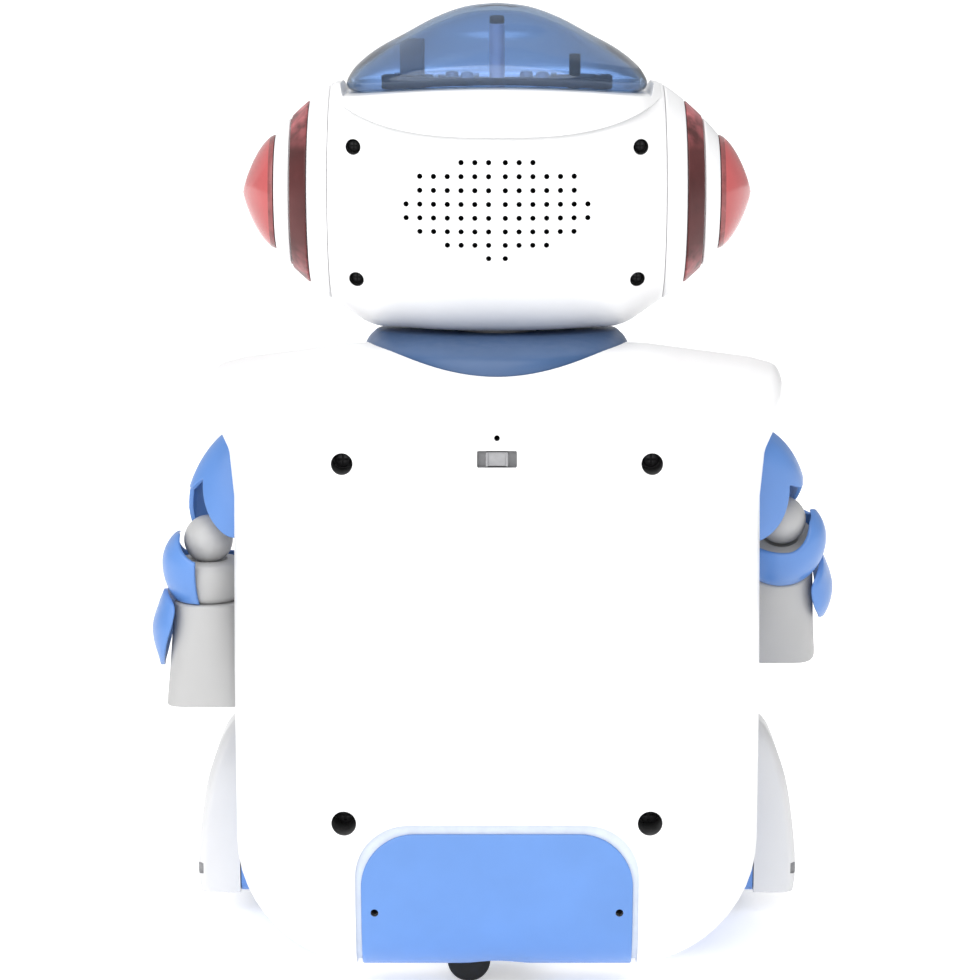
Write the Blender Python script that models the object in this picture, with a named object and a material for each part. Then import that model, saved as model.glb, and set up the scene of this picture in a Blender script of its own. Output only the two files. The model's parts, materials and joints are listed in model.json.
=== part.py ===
"""Educational coding robot: a toy robot on two drive wheels and a rear caster.

The robot faces -Y. The origin is on the floor under the middle of its box, and +Z is up.
Left is the robot's own left, which is +X. All sizes are in metres.
"""

import math

import bmesh
import bpy
from mathutils import Vector

GAP = 0.0003  # clearance between pieces that touch

# Head: a lemon turned about the X axis, flattened above and below.
HEAD_Z = 0.2251
HEAD_HALF = 0.0734
HEAD_RADIUS = 0.0435
HEAD_FLOOR = 0.1861
HEAD_ROOF = 0.2536
HEAD_WALL = 0.002
SHELL_HALF = 0.0474
EAR_BAND = (0.0538, 0.0587)
EAR_RIM_END = 0.0635
EAR_STEP = 0.0016
CROWN_TOP = 0.2551
CROWN_HALF = 0.0450
CROWN_DROP = 0.0120
CROWN_LOW = 0.2432

# Light dome on top of the head.
DOME_TOP = 0.2792
DOME_BASE = CROWN_TOP + GAP
DOME_ARC = 0.0525
DOME_HALF = 0.0431
DOME_DEPTH_RATIO = 0.64
DOME_WALL = 0.0018

# Speaker grille, as hole counts on one side of the middle, from the top row down.
GRILLE_ROWS = (3, 6, 6, 7, 7, 6, 4, 1)
GRILLE_PITCH = 0.0038
GRILLE_TOP = 0.2365
GRILLE_HOLE = 0.00075

# Neck collar, an oval cone between head and torso.
COLLAR_Y = 0.004
COLLAR_HALF = 0.0393
COLLAR_DEPTH = 0.0388
COLLAR_BOTTOM = 0.1720

# Torso outline, seen from behind, and the two shells that share it.
TORSO_TOP = 0.1850
TORSO_BOTTOM = 0.0060
TORSO_MIDDLE = 0.0950
WING = (0.0814, 0.1768)
WAIST = (0.0766, 0.1575)
HIP_X = 0.0758
BOTTOM_CORNER = 0.0345
TORSO_WALL = 0.0022
RIM_Y = 0.0180
BACK_Y = 0.0600
FRONT_Y = -0.0490
FRONT_BASE_Z = 0.0585

# Battery door, in the lower back.
DOOR_HALF = 0.0386
DOOR_TOP = 0.0514
DOOR_CORNER = 0.0150
DOOR_Y = 0.0520
DOOR_GAP = 0.0013

# Screws: x, z, recess radius.
HEAD_SCREWS = ((0.0400, 0.2402, 0.0257), (0.0395, 0.2029, 0.0217))
HEAD_RECESS = 0.00215
TORSO_SCREWS = ((0.0427, 0.1550, 0.0030), (0.0429, 0.0532, 0.0035))
DOOR_SCREW = (0.0345, 0.0270)

# Power switch and charge light in the back.
SWITCH_Z = 0.1563
SWITCH_SLOT = (0.0110, 0.0045)
SWITCH_KNOB = (0.0062, 0.0038)
LIGHT_Z = 0.1625

# Chest panel and its buttons.
PANEL = (0.035, 0.028)
PANEL_Z = 0.1180
BUTTON_RADIUS = 0.0055
BUTTON_REACH = 0.0150

# Arms, hanging straight; the right one is swung forward.
ARM_X = 0.0850
SHOULDER_Z = 0.1470
ELBOW_Z = 0.1234
BALL_RADIUS = 0.0078
ARM_SWING = {"left": 0.0, "right": 31.0}
CUFF_SPAN = {"left": (-145.0, 77.0), "right": (-77.0, 145.0)}
HAND_Z = 0.0748

# Drive wheels, their covers and the chassis.
WHEEL_RADIUS = 0.0150
WHEEL_Y = -0.0410
WHEEL_X = (0.0630, 0.0745)
LEG_Y = (-0.0600, -0.0220)
LEG_INNER = 0.0790
LEG_FLOOR = 0.0074
POD_HALF = 0.0787
CHASSIS_HALF = 0.0580
CHASSIS_Y = (-0.0550, 0.0150)
CHASSIS_Z = (0.0090, 0.0582)

# Rear caster, turned sideways.
CASTER = (0.0000, 0.0370)
CASTER_TRAIL = 0.0081
CASTER_RADIUS = 0.0062
CASTER_POCKET = 0.0152

SIDES = {"left": 1, "right": -1}

COLOURS = {
    "white_shell": ((0.93, 0.93, 0.94), 0.25, 0.0),
    "blue_plastic": ((0.16, 0.38, 0.86), 0.30, 0.0),
    "blue_dome": ((0.08, 0.20, 0.62), 0.08, 0.0),
    "red_dark": ((0.22, 0.02, 0.03), 0.12, 0.0),
    "red_tip": ((0.75, 0.10, 0.10), 0.15, 0.0),
    "black_gloss": ((0.02, 0.02, 0.03), 0.08, 0.0),
    "black_plastic": ((0.03, 0.03, 0.035), 0.50, 0.0),
    "grey_plastic": ((0.45, 0.45, 0.47), 0.45, 0.0),
    "board_green": ((0.03, 0.06, 0.07), 0.55, 0.0),
    "steel": ((0.55, 0.56, 0.58), 0.30, 1.0),
    "rubber": ((0.03, 0.03, 0.03), 0.80, 0.0),
    "button_yellow": ((0.90, 0.60, 0.08), 0.35, 0.0),
}


def material(name):
    colour, roughness, metallic = COLOURS[name]
    found = bpy.data.materials.get(name)
    if found:
        return found
    made = bpy.data.materials.new(name)
    made.use_nodes = True
    shader = made.node_tree.nodes["Principled BSDF"]
    shader.inputs["Base Color"].default_value = (*colour, 1.0)
    shader.inputs["Roughness"].default_value = roughness
    shader.inputs["Metallic"].default_value = metallic
    made.diffuse_color = (*colour, 1.0)
    return made


def add_loft(bm, loops, ring=False):
    """Skins closed loops of equal length. The ends are capped, or joined to each other in a ring."""
    rows = [[bm.verts.new(point) for point in loop] for loop in loops]
    pairs = list(zip(rows, rows[1:]))
    if ring:
        pairs.append((rows[-1], rows[0]))
    for low, high in pairs:
        for i in range(len(low)):
            j = (i + 1) % len(low)
            bm.faces.new((low[i], low[j], high[j], high[i]))
    if not ring:
        bm.faces.new(rows[0])
        bm.faces.new(reversed(rows[-1]))


def add_slab(bm, outer, inner, columns, rows):
    """A thin plate between two surfaces, each a function of u and v from 0 to 1."""
    loops = []
    for i in range(columns + 1):
        u = i / columns
        there = [outer(u, j / rows) for j in range(rows + 1)]
        back = [inner(u, j / rows) for j in range(rows, -1, -1)]
        loops.append(there + back)
    made = [[bm.verts.new(point) for point in loop] for loop in loops]
    count = len(made[0])
    for low, high in zip(made, made[1:]):
        for i in range(count):
            j = (i + 1) % count
            bm.faces.new((low[i], low[j], high[j], high[i]))
    for loop in (made[0], made[-1]):
        for j in range(rows):
            bm.faces.new((loop[j], loop[j + 1], loop[count - 2 - j], loop[count - 1 - j]))


def finish(name, bm, colour=None, origin=(0, 0, 0), parent=None, smooth=35):
    """Makes the object. Points are given in world space, or from the origin if it has a parent."""
    bmesh.ops.recalc_face_normals(bm, faces=bm.faces)
    if parent is None:
        bmesh.ops.translate(bm, verts=bm.verts, vec=-Vector(origin))
    mesh = bpy.data.meshes.new(name)
    bm.to_mesh(mesh)
    bm.free()
    made = bpy.data.objects.new(name, mesh)
    bpy.context.scene.collection.objects.link(made)
    if parent is None:
        made.location = origin
    else:
        made.parent = parent
    if colour:
        mesh.materials.append(material(colour))
        mesh.shade_smooth()
        mesh.set_sharp_from_angle(angle=math.radians(smooth))
    else:
        made.hide_render = True
        made.display_type = "WIRE"
    return made


def boolean(target, tool, operation="DIFFERENCE"):
    modifier = target.modifiers.new(tool.name, "BOOLEAN")
    modifier.operation = operation
    modifier.solver = "EXACT"
    modifier.object = tool


def circle(radius, count, axis, at, turn=0.0):
    """A loop of points round an axis, through the point at."""
    points = []
    for i in range(count):
        angle = turn + 2 * math.pi * i / count
        a, b = radius * math.cos(angle), radius * math.sin(angle)
        offset = {"X": (0, a, b), "Y": (a, 0, b), "Z": (a, b, 0)}[axis]
        points.append(Vector(at) + Vector(offset))
    return points


def add_rod(bm, radius, axis, start, length, count=16):
    """A round bar from start, along the axis. Its radius may be a pair, for a cone."""
    low, high = radius if isinstance(radius, tuple) else (radius, radius)
    step = Vector({"X": (length, 0, 0), "Y": (0, length, 0), "Z": (0, 0, length)}[axis])
    add_loft(bm, [circle(low, count, axis, start), circle(high, count, axis, Vector(start) + step)])


def add_lathe(bm, profile, axis, centre, count, ring=False, oval=1.0):
    """Turns (radius, place along the axis) pairs. With oval, Y is scaled round a Z axis."""
    loops = []
    for radius, place in profile:
        at = {"X": (place, 0, 0), "Y": (0, place, 0), "Z": (0, 0, place)}[axis]
        loop = circle(radius, count, axis, (0, 0, 0))
        loops.append([Vector((p.x, p.y * oval, p.z)) + Vector(at) + Vector(centre) for p in loop])
    add_loft(bm, loops, ring)


def add_box(bm, low, high):
    (x0, y0, z0), (x1, y1, z1) = low, high
    add_loft(bm, [[(x0, y0, z), (x1, y0, z), (x1, y1, z), (x0, y1, z)] for z in (z0, z1)])


def rounded(corners, steps=4):
    """A closed 2-D outline with each corner (x, z, radius) turned into an arc."""
    outline = []
    count = len(corners)
    for i, (x, z, radius) in enumerate(corners):
        here = Vector((x, z))
        before = (Vector(corners[i - 1][:2]) - here).normalized()
        after = (Vector(corners[(i + 1) % count][:2]) - here).normalized()
        half = before.angle(after) / 2
        reach = radius / math.tan(half)
        centre = here + (before + after).normalized() * (radius / math.sin(half))
        first = here + before * reach - centre
        last = here + after * reach - centre
        if radius == 0:
            outline.append(here)
            continue
        cuts = steps if radius < 0.03 else 2 * steps
        for k in range(cuts + 1):
            share = k / cuts
            weight = math.pi - 2 * half
            a = math.sin((1 - share) * weight) / math.sin(weight)
            b = math.sin(share * weight) / math.sin(weight)
            outline.append(centre + first * a + last * b)
    return outline


def mirrored(half):
    """Closes a half outline, from top to bottom at +X, with its mirror image at -X."""
    return half + [Vector((-p.x, p.y)) for p in reversed(half)]


def panel_outline(half_x, half_z, radius, centre_z):
    corners = [(x * half_x, centre_z + z * half_z, radius) for x, z in ((1, 1), (1, -1), (-1, -1), (-1, 1))]
    return rounded(corners, 4)


def standing(outline, y):
    return [(p.x, y, p.y) for p in outline]


def head_radius(x):
    share = min(abs(x) / HEAD_HALF, 1.0)
    fuller = 0.0018 * math.exp(-(((abs(x) - 0.0350) / 0.0070) ** 2))
    return HEAD_RADIUS * max(1 - share ** 2.4, 0.0) ** 0.78 + fuller


def head_point(x, angle, inset, low, high):
    """A point of the head's skin. The angle runs from the top, 0, to the back, 90 degrees."""
    radius = head_radius(x) - inset
    height = HEAD_Z + radius * math.cos(angle)
    return (x, radius * math.sin(angle), min(max(height, low), high))


def head_half_shell(bm, side):
    """Half of the head's middle shell: side is 1 for the rear and -1 for the front."""

    def skin(inset):
        def surface(u, v):
            x = SHELL_HALF * (2 * u - 1)
            start = math.asin(GAP / 2 / (head_radius(x) - inset))
            angle = start + v * (math.pi - 2 * start)
            return head_point(x, side * angle, inset, HEAD_FLOOR + inset, HEAD_ROOF - inset)

        return surface

    add_slab(bm, skin(0.0), skin(HEAD_WALL), 12, 14)


def head_back(x, z):
    """Depth of the head's skin behind, at x and z."""
    return math.sqrt(head_radius(x) ** 2 - (z - HEAD_Z) ** 2)


def screw_places():
    return [(side * x, z, floor) for x, z, floor in HEAD_SCREWS for side in (1, -1)]


def head_rear_shell():
    bm = bmesh.new()
    head_half_shell(bm, 1)
    shell = finish("head_rear_shell", bm, "white_shell")
    bm = bmesh.new()
    for x, z, floor in screw_places():
        ring = circle(0.0036, 10, "Y", (x, floor - 0.0022, z))
        add_loft(bm, [ring, [(p.x, head_back(p.x, p.z) - 0.0009, p.z) for p in ring]])
    boolean(shell, finish("head_bosses", bm), "UNION")
    bm = bmesh.new()
    for x, z, floor in screw_places():
        add_rod(bm, HEAD_RECESS, "Y", (x, floor, z), 0.0200, 10)
    for row, count in enumerate(GRILLE_ROWS):
        for column in range(count):
            x = 0.0023 + column * GRILLE_PITCH
            z = GRILLE_TOP - row * GRILLE_PITCH
            for side in (1, -1):
                add_rod(bm, GRILLE_HOLE, "Y", (side * x, 0.0330, z), 0.0140, 4)
    add_rod(bm, 0.0125, "Z", (0, 0, HEAD_FLOOR - 0.003), 0.008, 24)
    boolean(shell, finish("head_rear_cuts", bm))


def visor_prism(bm, clearance):
    outline = panel_outline(0.0335 + clearance, 0.0165 + clearance, 0.0135, HEAD_Z + 0.0015)
    add_loft(bm, [standing(outline, y) for y in (-0.050, -0.024)])


def head_front_shell():
    bm = bmesh.new()
    head_half_shell(bm, -1)
    shell = finish("head_front_shell", bm, "white_shell")
    bm = bmesh.new()
    visor_prism(bm, GAP)
    add_rod(bm, 0.0125, "Z", (0, 0, HEAD_FLOOR - 0.003), 0.008, 24)
    boolean(shell, finish("head_front_cuts", bm))


def face_visor():
    def skin(inset):
        def surface(u, v):
            angle = -math.radians(50 + 80 * v)
            return head_point(0.040 * (2 * u - 1), angle, inset, 0, 1)

        return surface

    bm = bmesh.new()
    add_slab(bm, skin(0.0004), skin(0.0022), 8, 8)
    visor = finish("face_visor", bm, "black_gloss")
    bm = bmesh.new()
    visor_prism(bm, 0.0)
    boolean(visor, finish("visor_outline", bm), "INTERSECT")


def head_crown():
    """The raised cap round the dome, with a lens-shaped brow over the back and the front."""

    def skin(lift, roof):
        def surface(u, v):
            x = CROWN_HALF * (2 * u - 1)
            radius = head_radius(x) + lift
            low = CROWN_LOW + CROWN_DROP * (abs(x) / CROWN_HALF) ** 2.2
            edge = math.acos(min((low - 0.0012 - HEAD_Z) / radius, 1.0))
            return head_point(x, edge * (2 * v - 1), -lift, 0, roof)

        return surface

    bm = bmesh.new()
    add_slab(bm, skin(0.0022, CROWN_TOP), skin(0.0011, CROWN_TOP - 0.0011), 14, 16)
    crown = finish("head_crown", bm, "white_shell")
    bm = bmesh.new()
    add_rod(bm, 0.0026, "Z", (0, 0, 0.2490), 0.010, 12)
    boolean(crown, finish("crown_hole", bm))


def dome_profile(inset):
    """From the base to the top: a short straight foot, then one arc."""
    centre = DOME_TOP - DOME_ARC
    start = math.acos((DOME_BASE + 0.0030 - centre) / DOME_ARC)
    points = [(DOME_HALF - inset, DOME_BASE), (DOME_HALF - inset, DOME_BASE + 0.0012)]
    for k in range(6):
        angle = start * (1 - k / 5.3)
        radius = DOME_ARC - inset
        points.append((radius * math.sin(angle), centre + radius * math.cos(angle)))
    return points


def dome():
    bm = bmesh.new()
    profile = list(reversed(dome_profile(0.0))) + dome_profile(DOME_WALL)
    add_lathe(bm, profile, "Z", (0, 0, 0), 24, oval=DOME_DEPTH_RATIO)
    finish("dome", bm, "blue_dome")


def dome_lights():
    """The lamp board under the dome, with one tall part on it, and the post that holds the dome."""
    bm = bmesh.new()
    outline = panel_outline(0.0330, 0.0100, 0.0030, 0.0)
    low, high = DOME_BASE + GAP, DOME_BASE + 0.0022
    add_loft(bm, [[(p.x, p.y, z) for p in outline] for z in (low, high)])
    board = finish("lamp_board", bm, "board_green")
    bm = bmesh.new()
    add_box(bm, (0.0209, -0.004, high - 0.0005), (0.0278, 0.004, 0.2664))
    add_box(bm, (-0.0240, -0.002, high - 0.0005), (-0.0208, 0.002, 0.2628))
    boolean(board, finish("board_parts", bm), "UNION")
    bm = bmesh.new()
    add_rod(bm, 0.0027, "Z", (0, 0, 0.2500), 0.010, 12)
    boolean(board, finish("board_hole", bm))
    bm = bmesh.new()
    profile = [(0.0022, HEAD_ROOF + GAP), (0.0022, 0.2732), (0.0022, 0.2756)]
    add_lathe(bm, profile, "Z", (0, 0, 0), 10)
    finish("dome_post", bm, "grey_plastic")


def speaker():
    bm = bmesh.new()
    profile = [(0.0090, 0.0140), (0.0090, 0.0200), (0.0190, 0.0270), (0.0200, 0.0275), (0.0200, 0.0300)]
    add_lathe(bm, profile + [(0.0170, 0.0300), (0.0080, 0.0260)], "Y", (0, 0, 0.2235), 20)
    finish("speaker", bm, "black_plastic")


def ear_profile(stations, inset):
    return [(head_radius(x) - inset, x) for x in stations]


def spread(start, end, count):
    return [start + (end - start) * k / count for k in range(count + 1)]


def ears():
    low, high = EAR_BAND
    for side, sign in SIDES.items():
        pieces = {}
        outside = ear_profile(spread(SHELL_HALF + GAP, low - GAP, 1), 0.0)
        outside += ear_profile(spread(low - GAP, high + GAP, 1), EAR_STEP)
        outside += ear_profile(spread(high + GAP, EAR_RIM_END, 1), 0.0)
        inside = ear_profile(spread(EAR_RIM_END, SHELL_HALF + GAP, 2), 0.0032)
        pieces["ear_frame"] = ("white_shell", outside + inside, True)
        band = ear_profile(spread(low, high, 2), 0.0)
        band += ear_profile(spread(high, low, 1), EAR_STEP - GAP)
        pieces["ear_band"] = ("red_dark", band, True)
        stations = spread(EAR_RIM_END + GAP, 0.0728, 4)
        tip = list(reversed(ear_profile(stations, 0.0)))
        tip += ear_profile(spread(EAR_RIM_END + GAP, 0.0695, 2), 0.0020)
        pieces["ear_tip"] = ("red_tip", tip, False)
        for name, (colour, profile, ring) in pieces.items():
            bm = bmesh.new()
            turned = [(radius, sign * x) for radius, x in profile]
            add_lathe(bm, turned, "X", (0, 0, HEAD_Z), 24, ring)
            finish(f"{name}_{side}", bm, colour)


def head_screws():
    for name, (x, z, floor) in zip(("upper_left", "upper_right", "lower_left", "lower_right"), screw_places()):
        bm = bmesh.new()
        add_rod(bm, 0.0018, "Y", (x, floor + GAP, z), 0.0016, 10)
        finish(f"head_screw_{name}", bm, "steel")


def oval(half, depth, z, count=28):
    turns = (2 * math.pi * i / count for i in range(count))
    return [(half * math.cos(t), COLLAR_Y + depth * math.sin(t), z) for t in turns]


def neck_collar():
    """An oval cone with a round hole for the neck spigot that hangs under the head."""
    top = HEAD_FLOOR - GAP
    bore = [circle(0.0150, 28, "Z", (0, 0, z)) for z in (COLLAR_BOTTOM, top)]
    outside = [
        oval(0.0352, 0.0356, top),
        oval(0.0366, 0.0370, top - 0.0008),
        oval(0.0386, 0.0383, 0.1815),
        oval(COLLAR_HALF, COLLAR_DEPTH, 0.1755),
        oval(COLLAR_HALF, COLLAR_DEPTH, COLLAR_BOTTOM),
    ]
    bm = bmesh.new()
    add_loft(bm, bore + outside, ring=True)
    finish("neck_collar", bm, "blue_plastic")
    bm = bmesh.new()
    add_lathe(
        bm,
        [(0.0180, 0.1660), (0.0180, 0.1680), (0.0115, 0.1682), (0.0115, 0.1900), (0.0150, 0.1902)]
        + [(0.0150, 0.1920), (0.0085, 0.1920), (0.0085, 0.1660)],
        "Z",
        (0, 0, 0),
        18,
        ring=True,
    )
    finish("neck_spigot", bm, "grey_plastic")


def torso_outline():
    """The outline from behind: shoulder wings, a waist and wide round lower corners."""
    corners = [
        (0.0, TORSO_TOP, 0.0),
        (0.0425, TORSO_TOP - 0.0018, 0.0300),
        (0.0720, 0.1793, 0.0100),
        (WING[0], WING[1], 0.0050),
        (WING[0] - 0.0002, WING[1] - 0.0085, 0.0080),
        (WAIST[0], WAIST[1], 0.0180),
        (WAIST[0] - 0.0014, 0.1420, 0.0200),
        (HIP_X, 0.0900, 0.0),
        (HIP_X, TORSO_BOTTOM, BOTTOM_CORNER),
        (0.0, TORSO_BOTTOM, 0.0),
    ]
    whole = rounded(corners + [(-0.01, 0.095, 0.0)], 3)
    half = [p for p in whole if p.x > 0.001]
    return mirrored([Vector((0.030, TORSO_TOP - 0.0013))] + half + [Vector((0.018, TORSO_BOTTOM))])


def torso_loop(y, inset_x, inset_top, inset_bottom):
    """The outline at depth y, drawn in from the sides, the top and the bottom."""
    up = 1 - inset_top / (TORSO_TOP - TORSO_MIDDLE)
    down = 1 - inset_bottom / (TORSO_MIDDLE - TORSO_BOTTOM)
    across = 1 - inset_x / HIP_X
    loop = []
    for p in torso_outline():
        rise = p.y - TORSO_MIDDLE
        loop.append((p.x * across, y, TORSO_MIDDLE + rise * (up if rise > 0 else down)))
    return loop


# y, then how far the outline is drawn in at the sides, the top and the bottom.
BACK_STATIONS = (
    (RIM_Y, 0.0, 0.0, 0.0),
    (0.0290, 0.0004, 0.0012, 0.0002),
    (0.0380, 0.0018, 0.0040, 0.0008),
    (0.0460, 0.0050, 0.0085, 0.0020),
    (0.0520, 0.0100, 0.0150, 0.0045),
    (0.0565, 0.0180, 0.0240, 0.0095),
    (0.0590, 0.0280, 0.0350, 0.0180),
    (BACK_Y, 0.0400, 0.0480, 0.0300),
)


def back_dish(bm):
    wall = TORSO_WALL
    outer = [torso_loop(*station) for station in BACK_STATIONS]
    inner = [torso_loop(RIM_Y, wall, wall, wall)]
    for y, side, top, bottom in BACK_STATIONS[2:]:
        inner.append(torso_loop(y - wall, side + wall * 0.8, top + wall * 0.8, bottom + wall * 0.8))
    add_loft(bm, list(reversed(outer)) + inner)


def door_prism(bm, clearance):
    reach = DOOR_HALF + clearance
    corners = [(reach, DOOR_TOP + clearance, DOOR_CORNER), (reach, -0.010, 0), (-reach, -0.010, 0)]
    corners.append((-reach, DOOR_TOP + clearance, DOOR_CORNER))
    outline = rounded(corners, 6)
    add_loft(bm, [standing(outline, y) for y in (DOOR_Y - clearance, 0.070)])


def collar_prism(bm):
    loops = (oval(COLLAR_HALF + 0.0005, COLLAR_DEPTH + 0.0005, z) for z in (0.1500, 0.2000))
    add_loft(bm, loops)


def torso_screw_places():
    return [(side * x, z, radius) for x, z, radius in TORSO_SCREWS for side in (1, -1)]


def torso_rear_shell():
    bm = bmesh.new()
    back_dish(bm)
    shell = finish("torso_rear_shell", bm, "white_shell")
    bm = bmesh.new()
    for x, z, radius in torso_screw_places():
        add_rod(bm, radius + 0.0016, "Y", (x, 0.0440, z), 0.0135, 12)
    boolean(shell, finish("torso_bosses", bm), "UNION")
    bm = bmesh.new()
    for x, z, radius in torso_screw_places():
        add_rod(bm, radius, "Y", (x, 0.0470, z), 0.0200, 12)
    add_rod(bm, 0.00065, "Y", (0, 0.0500, LIGHT_Z), 0.0150, 8)
    half_x, half_z = SWITCH_SLOT[0] / 2, SWITCH_SLOT[1] / 2
    add_box(bm, (-half_x, 0.0500, SWITCH_Z - half_z), (half_x, 0.0650, SWITCH_Z + half_z))
    collar_prism(bm)
    boolean(shell, finish("torso_rear_cuts", bm))
    bm = bmesh.new()
    door_prism(bm, DOOR_GAP)
    boolean(shell, finish("door_opening", bm))
    bm = bmesh.new()
    add_rod(bm, CASTER_POCKET, "Z", (*CASTER, -0.0050), 0.0200, 24)
    boolean(shell, finish("caster_pocket", bm))


def battery_door():
    bm = bmesh.new()
    back_dish(bm)
    door = finish("battery_door", bm, "blue_plastic")
    bm = bmesh.new()
    door_prism(bm, 0.0)
    boolean(door, finish("door_outline", bm), "INTERSECT")
    bm = bmesh.new()
    for side in (1, -1):
        add_rod(bm, 0.0016, "Y", (side * DOOR_SCREW[0], 0.0500, DOOR_SCREW[1]), 0.0150, 10)
    boolean(door, finish("door_screw_holes", bm))
    for side, sign in SIDES.items():
        bm = bmesh.new()
        add_rod(bm, 0.0013, "Y", (sign * DOOR_SCREW[0], 0.0525, DOOR_SCREW[1]), 0.0060, 10)
        finish(f"door_screw_{side}", bm, "steel")


def torso_screws():
    names = ("upper_left", "upper_right", "lower_left", "lower_right")
    for name, (x, z, radius) in zip(names, torso_screw_places()):
        bm = bmesh.new()
        add_rod(bm, radius - 0.0004, "Y", (x, 0.0470 + GAP, z), 0.0018, 12)
        finish(f"torso_screw_{name}", bm, "steel")


def torso_front_shell():
    """A flange behind, as wide as the back, and a narrower box in front of it."""
    wall = TORSO_WALL
    lift = FRONT_BASE_Z - TORSO_BOTTOM
    flange = RIM_Y - GAP
    outside = [
        torso_loop(flange, 0.0, 0.0, 0.0),
        torso_loop(flange - wall, 0.0, 0.0, 0.0),
        torso_loop(flange - wall, 0.0100, 0.0014, lift),
        torso_loop(-0.0200, 0.0105, 0.0065, lift),
        torso_loop(-0.0370, 0.0130, 0.0105, lift),
        torso_loop(-0.0445, 0.0200, 0.0170, lift + 0.0050),
        torso_loop(-0.0480, 0.0290, 0.0260, lift + 0.0150),
        torso_loop(FRONT_Y, 0.0370, 0.0360, lift + 0.0240),
    ]
    inside = [
        torso_loop(FRONT_Y + wall, 0.0380, 0.0370, lift + 0.0250),
        torso_loop(-0.0430, 0.0225, 0.0195, lift + 0.0075),
        torso_loop(-0.0350, 0.0155, 0.0130, lift + wall),
        torso_loop(flange, 0.0125, 0.0038, lift + wall),
    ]
    bm = bmesh.new()
    add_loft(bm, list(reversed(outside)) + list(reversed(inside)))
    shell = finish("torso_front_shell", bm, "white_shell")
    bm = bmesh.new()
    collar_prism(bm)
    for x, z in button_places():
        add_rod(bm, BUTTON_RADIUS + 0.0006, "Y", (x, -0.0550, z), 0.0120, 12)
    boolean(shell, finish("torso_front_cuts", bm))


def button_places():
    reach = BUTTON_REACH
    return [(0, PANEL_Z + reach), (0, PANEL_Z - reach), (reach, PANEL_Z), (-reach, PANEL_Z)]


def chest():
    front = FRONT_Y - GAP
    bm = bmesh.new()
    outline = panel_outline(PANEL[0], PANEL[1], 0.010, PANEL_Z)
    small = panel_outline(PANEL[0] - 0.0006, PANEL[1] - 0.0006, 0.0094, PANEL_Z)
    loops = [standing(outline, front), standing(outline, front - 0.0012), standing(small, front - 0.0018)]
    add_loft(bm, loops)
    panel = finish("chest_panel", bm, "blue_plastic")
    bm = bmesh.new()
    for x, z in button_places():
        add_rod(bm, BUTTON_RADIUS + 0.0006, "Y", (x, -0.0550, z), 0.0120, 12)
    boolean(panel, finish("panel_holes", bm))
    for name, (x, z) in zip(("forward", "back", "left", "right"), button_places()):
        bm = bmesh.new()
        profile = [(0.0045, -0.0535), (BUTTON_RADIUS, -0.0526), (BUTTON_RADIUS, -0.0460)]
        add_lathe(bm, profile, "Y", (x, 0, z), 12)
        finish(f"button_{name}", bm, "button_yellow", origin=(x, -0.0500, z))


def power_switch():
    half_x, half_z = SWITCH_KNOB[0] / 2, SWITCH_KNOB[1] / 2
    bm = bmesh.new()
    outline = panel_outline(half_x, half_z, 0.0005, SWITCH_Z)
    add_loft(bm, [standing(outline, y) for y in (0.0545, 0.0585)])
    finish("power_switch", bm, "grey_plastic", origin=(0, 0.0565, SWITCH_Z))


def chassis():
    """An open tray under the torso, with a wheel pod at each side of its front."""
    y0, y1 = CHASSIS_Y
    z0, z1 = CHASSIS_Z
    wall = 0.0025
    bm = bmesh.new()
    add_box(bm, (-CHASSIS_HALF, y0, z0), (CHASSIS_HALF, y1, z1))
    tray = finish("chassis", bm, "blue_plastic")
    bm = bmesh.new()
    for sign in SIDES.values():
        corners = [
            (LEG_Y[0] + 0.0005, LEG_FLOOR, 0.004),
            (LEG_Y[1] - 0.0003, LEG_FLOOR, 0.004),
            (LEG_Y[1] - 0.0003, 0.0480, 0.014),
            (LEG_Y[0] + 0.0005, 0.0480, 0.014),
        ]
        outline = rounded(corners, 4)
        loops = [[(sign * x, p.x, p.y) for p in outline] for x in (CHASSIS_HALF - 0.004, POD_HALF)]
        add_loft(bm, loops)
    boolean(tray, finish("chassis_pods", bm), "UNION")
    bm = bmesh.new()
    inner = CHASSIS_HALF - wall
    add_box(bm, (-inner, y0 + wall, z0 + wall), (inner, y1 - wall, z1 + 0.01))
    for sign in SIDES.values():
        low, high = sorted((sign * (WHEEL_X[0] - 0.0012), sign * (WHEEL_X[1] + 0.0012)))
        add_box(bm, (low, WHEEL_Y - 0.0164, -0.001), (high, WHEEL_Y + 0.0164, 2 * WHEEL_RADIUS + 0.0016))
    boolean(tray, finish("chassis_cuts", bm))
    bm = bmesh.new()
    for sign in SIDES.values():
        add_rod(bm, 0.0032, "X", (sign * (inner - 0.001), WHEEL_Y, WHEEL_RADIUS), sign * 0.0090, 12)
    boolean(tray, finish("axle_holes", bm))


def legs():
    """The covers outside the wheels, flared towards the floor. Outer x and the end margins, by height."""
    stations = (
        (LEG_FLOOR, 0.0905, 0.0012),
        (LEG_FLOOR + 0.0015, 0.0914, 0.0004),
        (0.0148, 0.0920, 0.0),
        (0.0260, 0.0912, 0.0),
        (0.0400, 0.0893, 0.0010),
        (0.0480, 0.0872, 0.0035),
        (0.0550, 0.0843, 0.0075),
        (0.0592, 0.0810, 0.0125),
        (0.0600, 0.0800, 0.0140),
    )
    for side, sign in SIDES.items():
        loops = []
        for z, out, margin in stations:
            y0, y1 = LEG_Y[0] + margin, LEG_Y[1] - margin
            radius = min(0.0035, (out - LEG_INNER) * 0.7)
            corners = [(LEG_INNER, y0, 0), (out, y0, radius), (out, y1, radius), (LEG_INNER, y1, 0)]
            loops.append([(sign * p.x, p.y, z) for p in rounded(corners, 4)])
        bm = bmesh.new()
        add_loft(bm, loops)
        finish(f"leg_{side}", bm, "white_shell")


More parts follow.
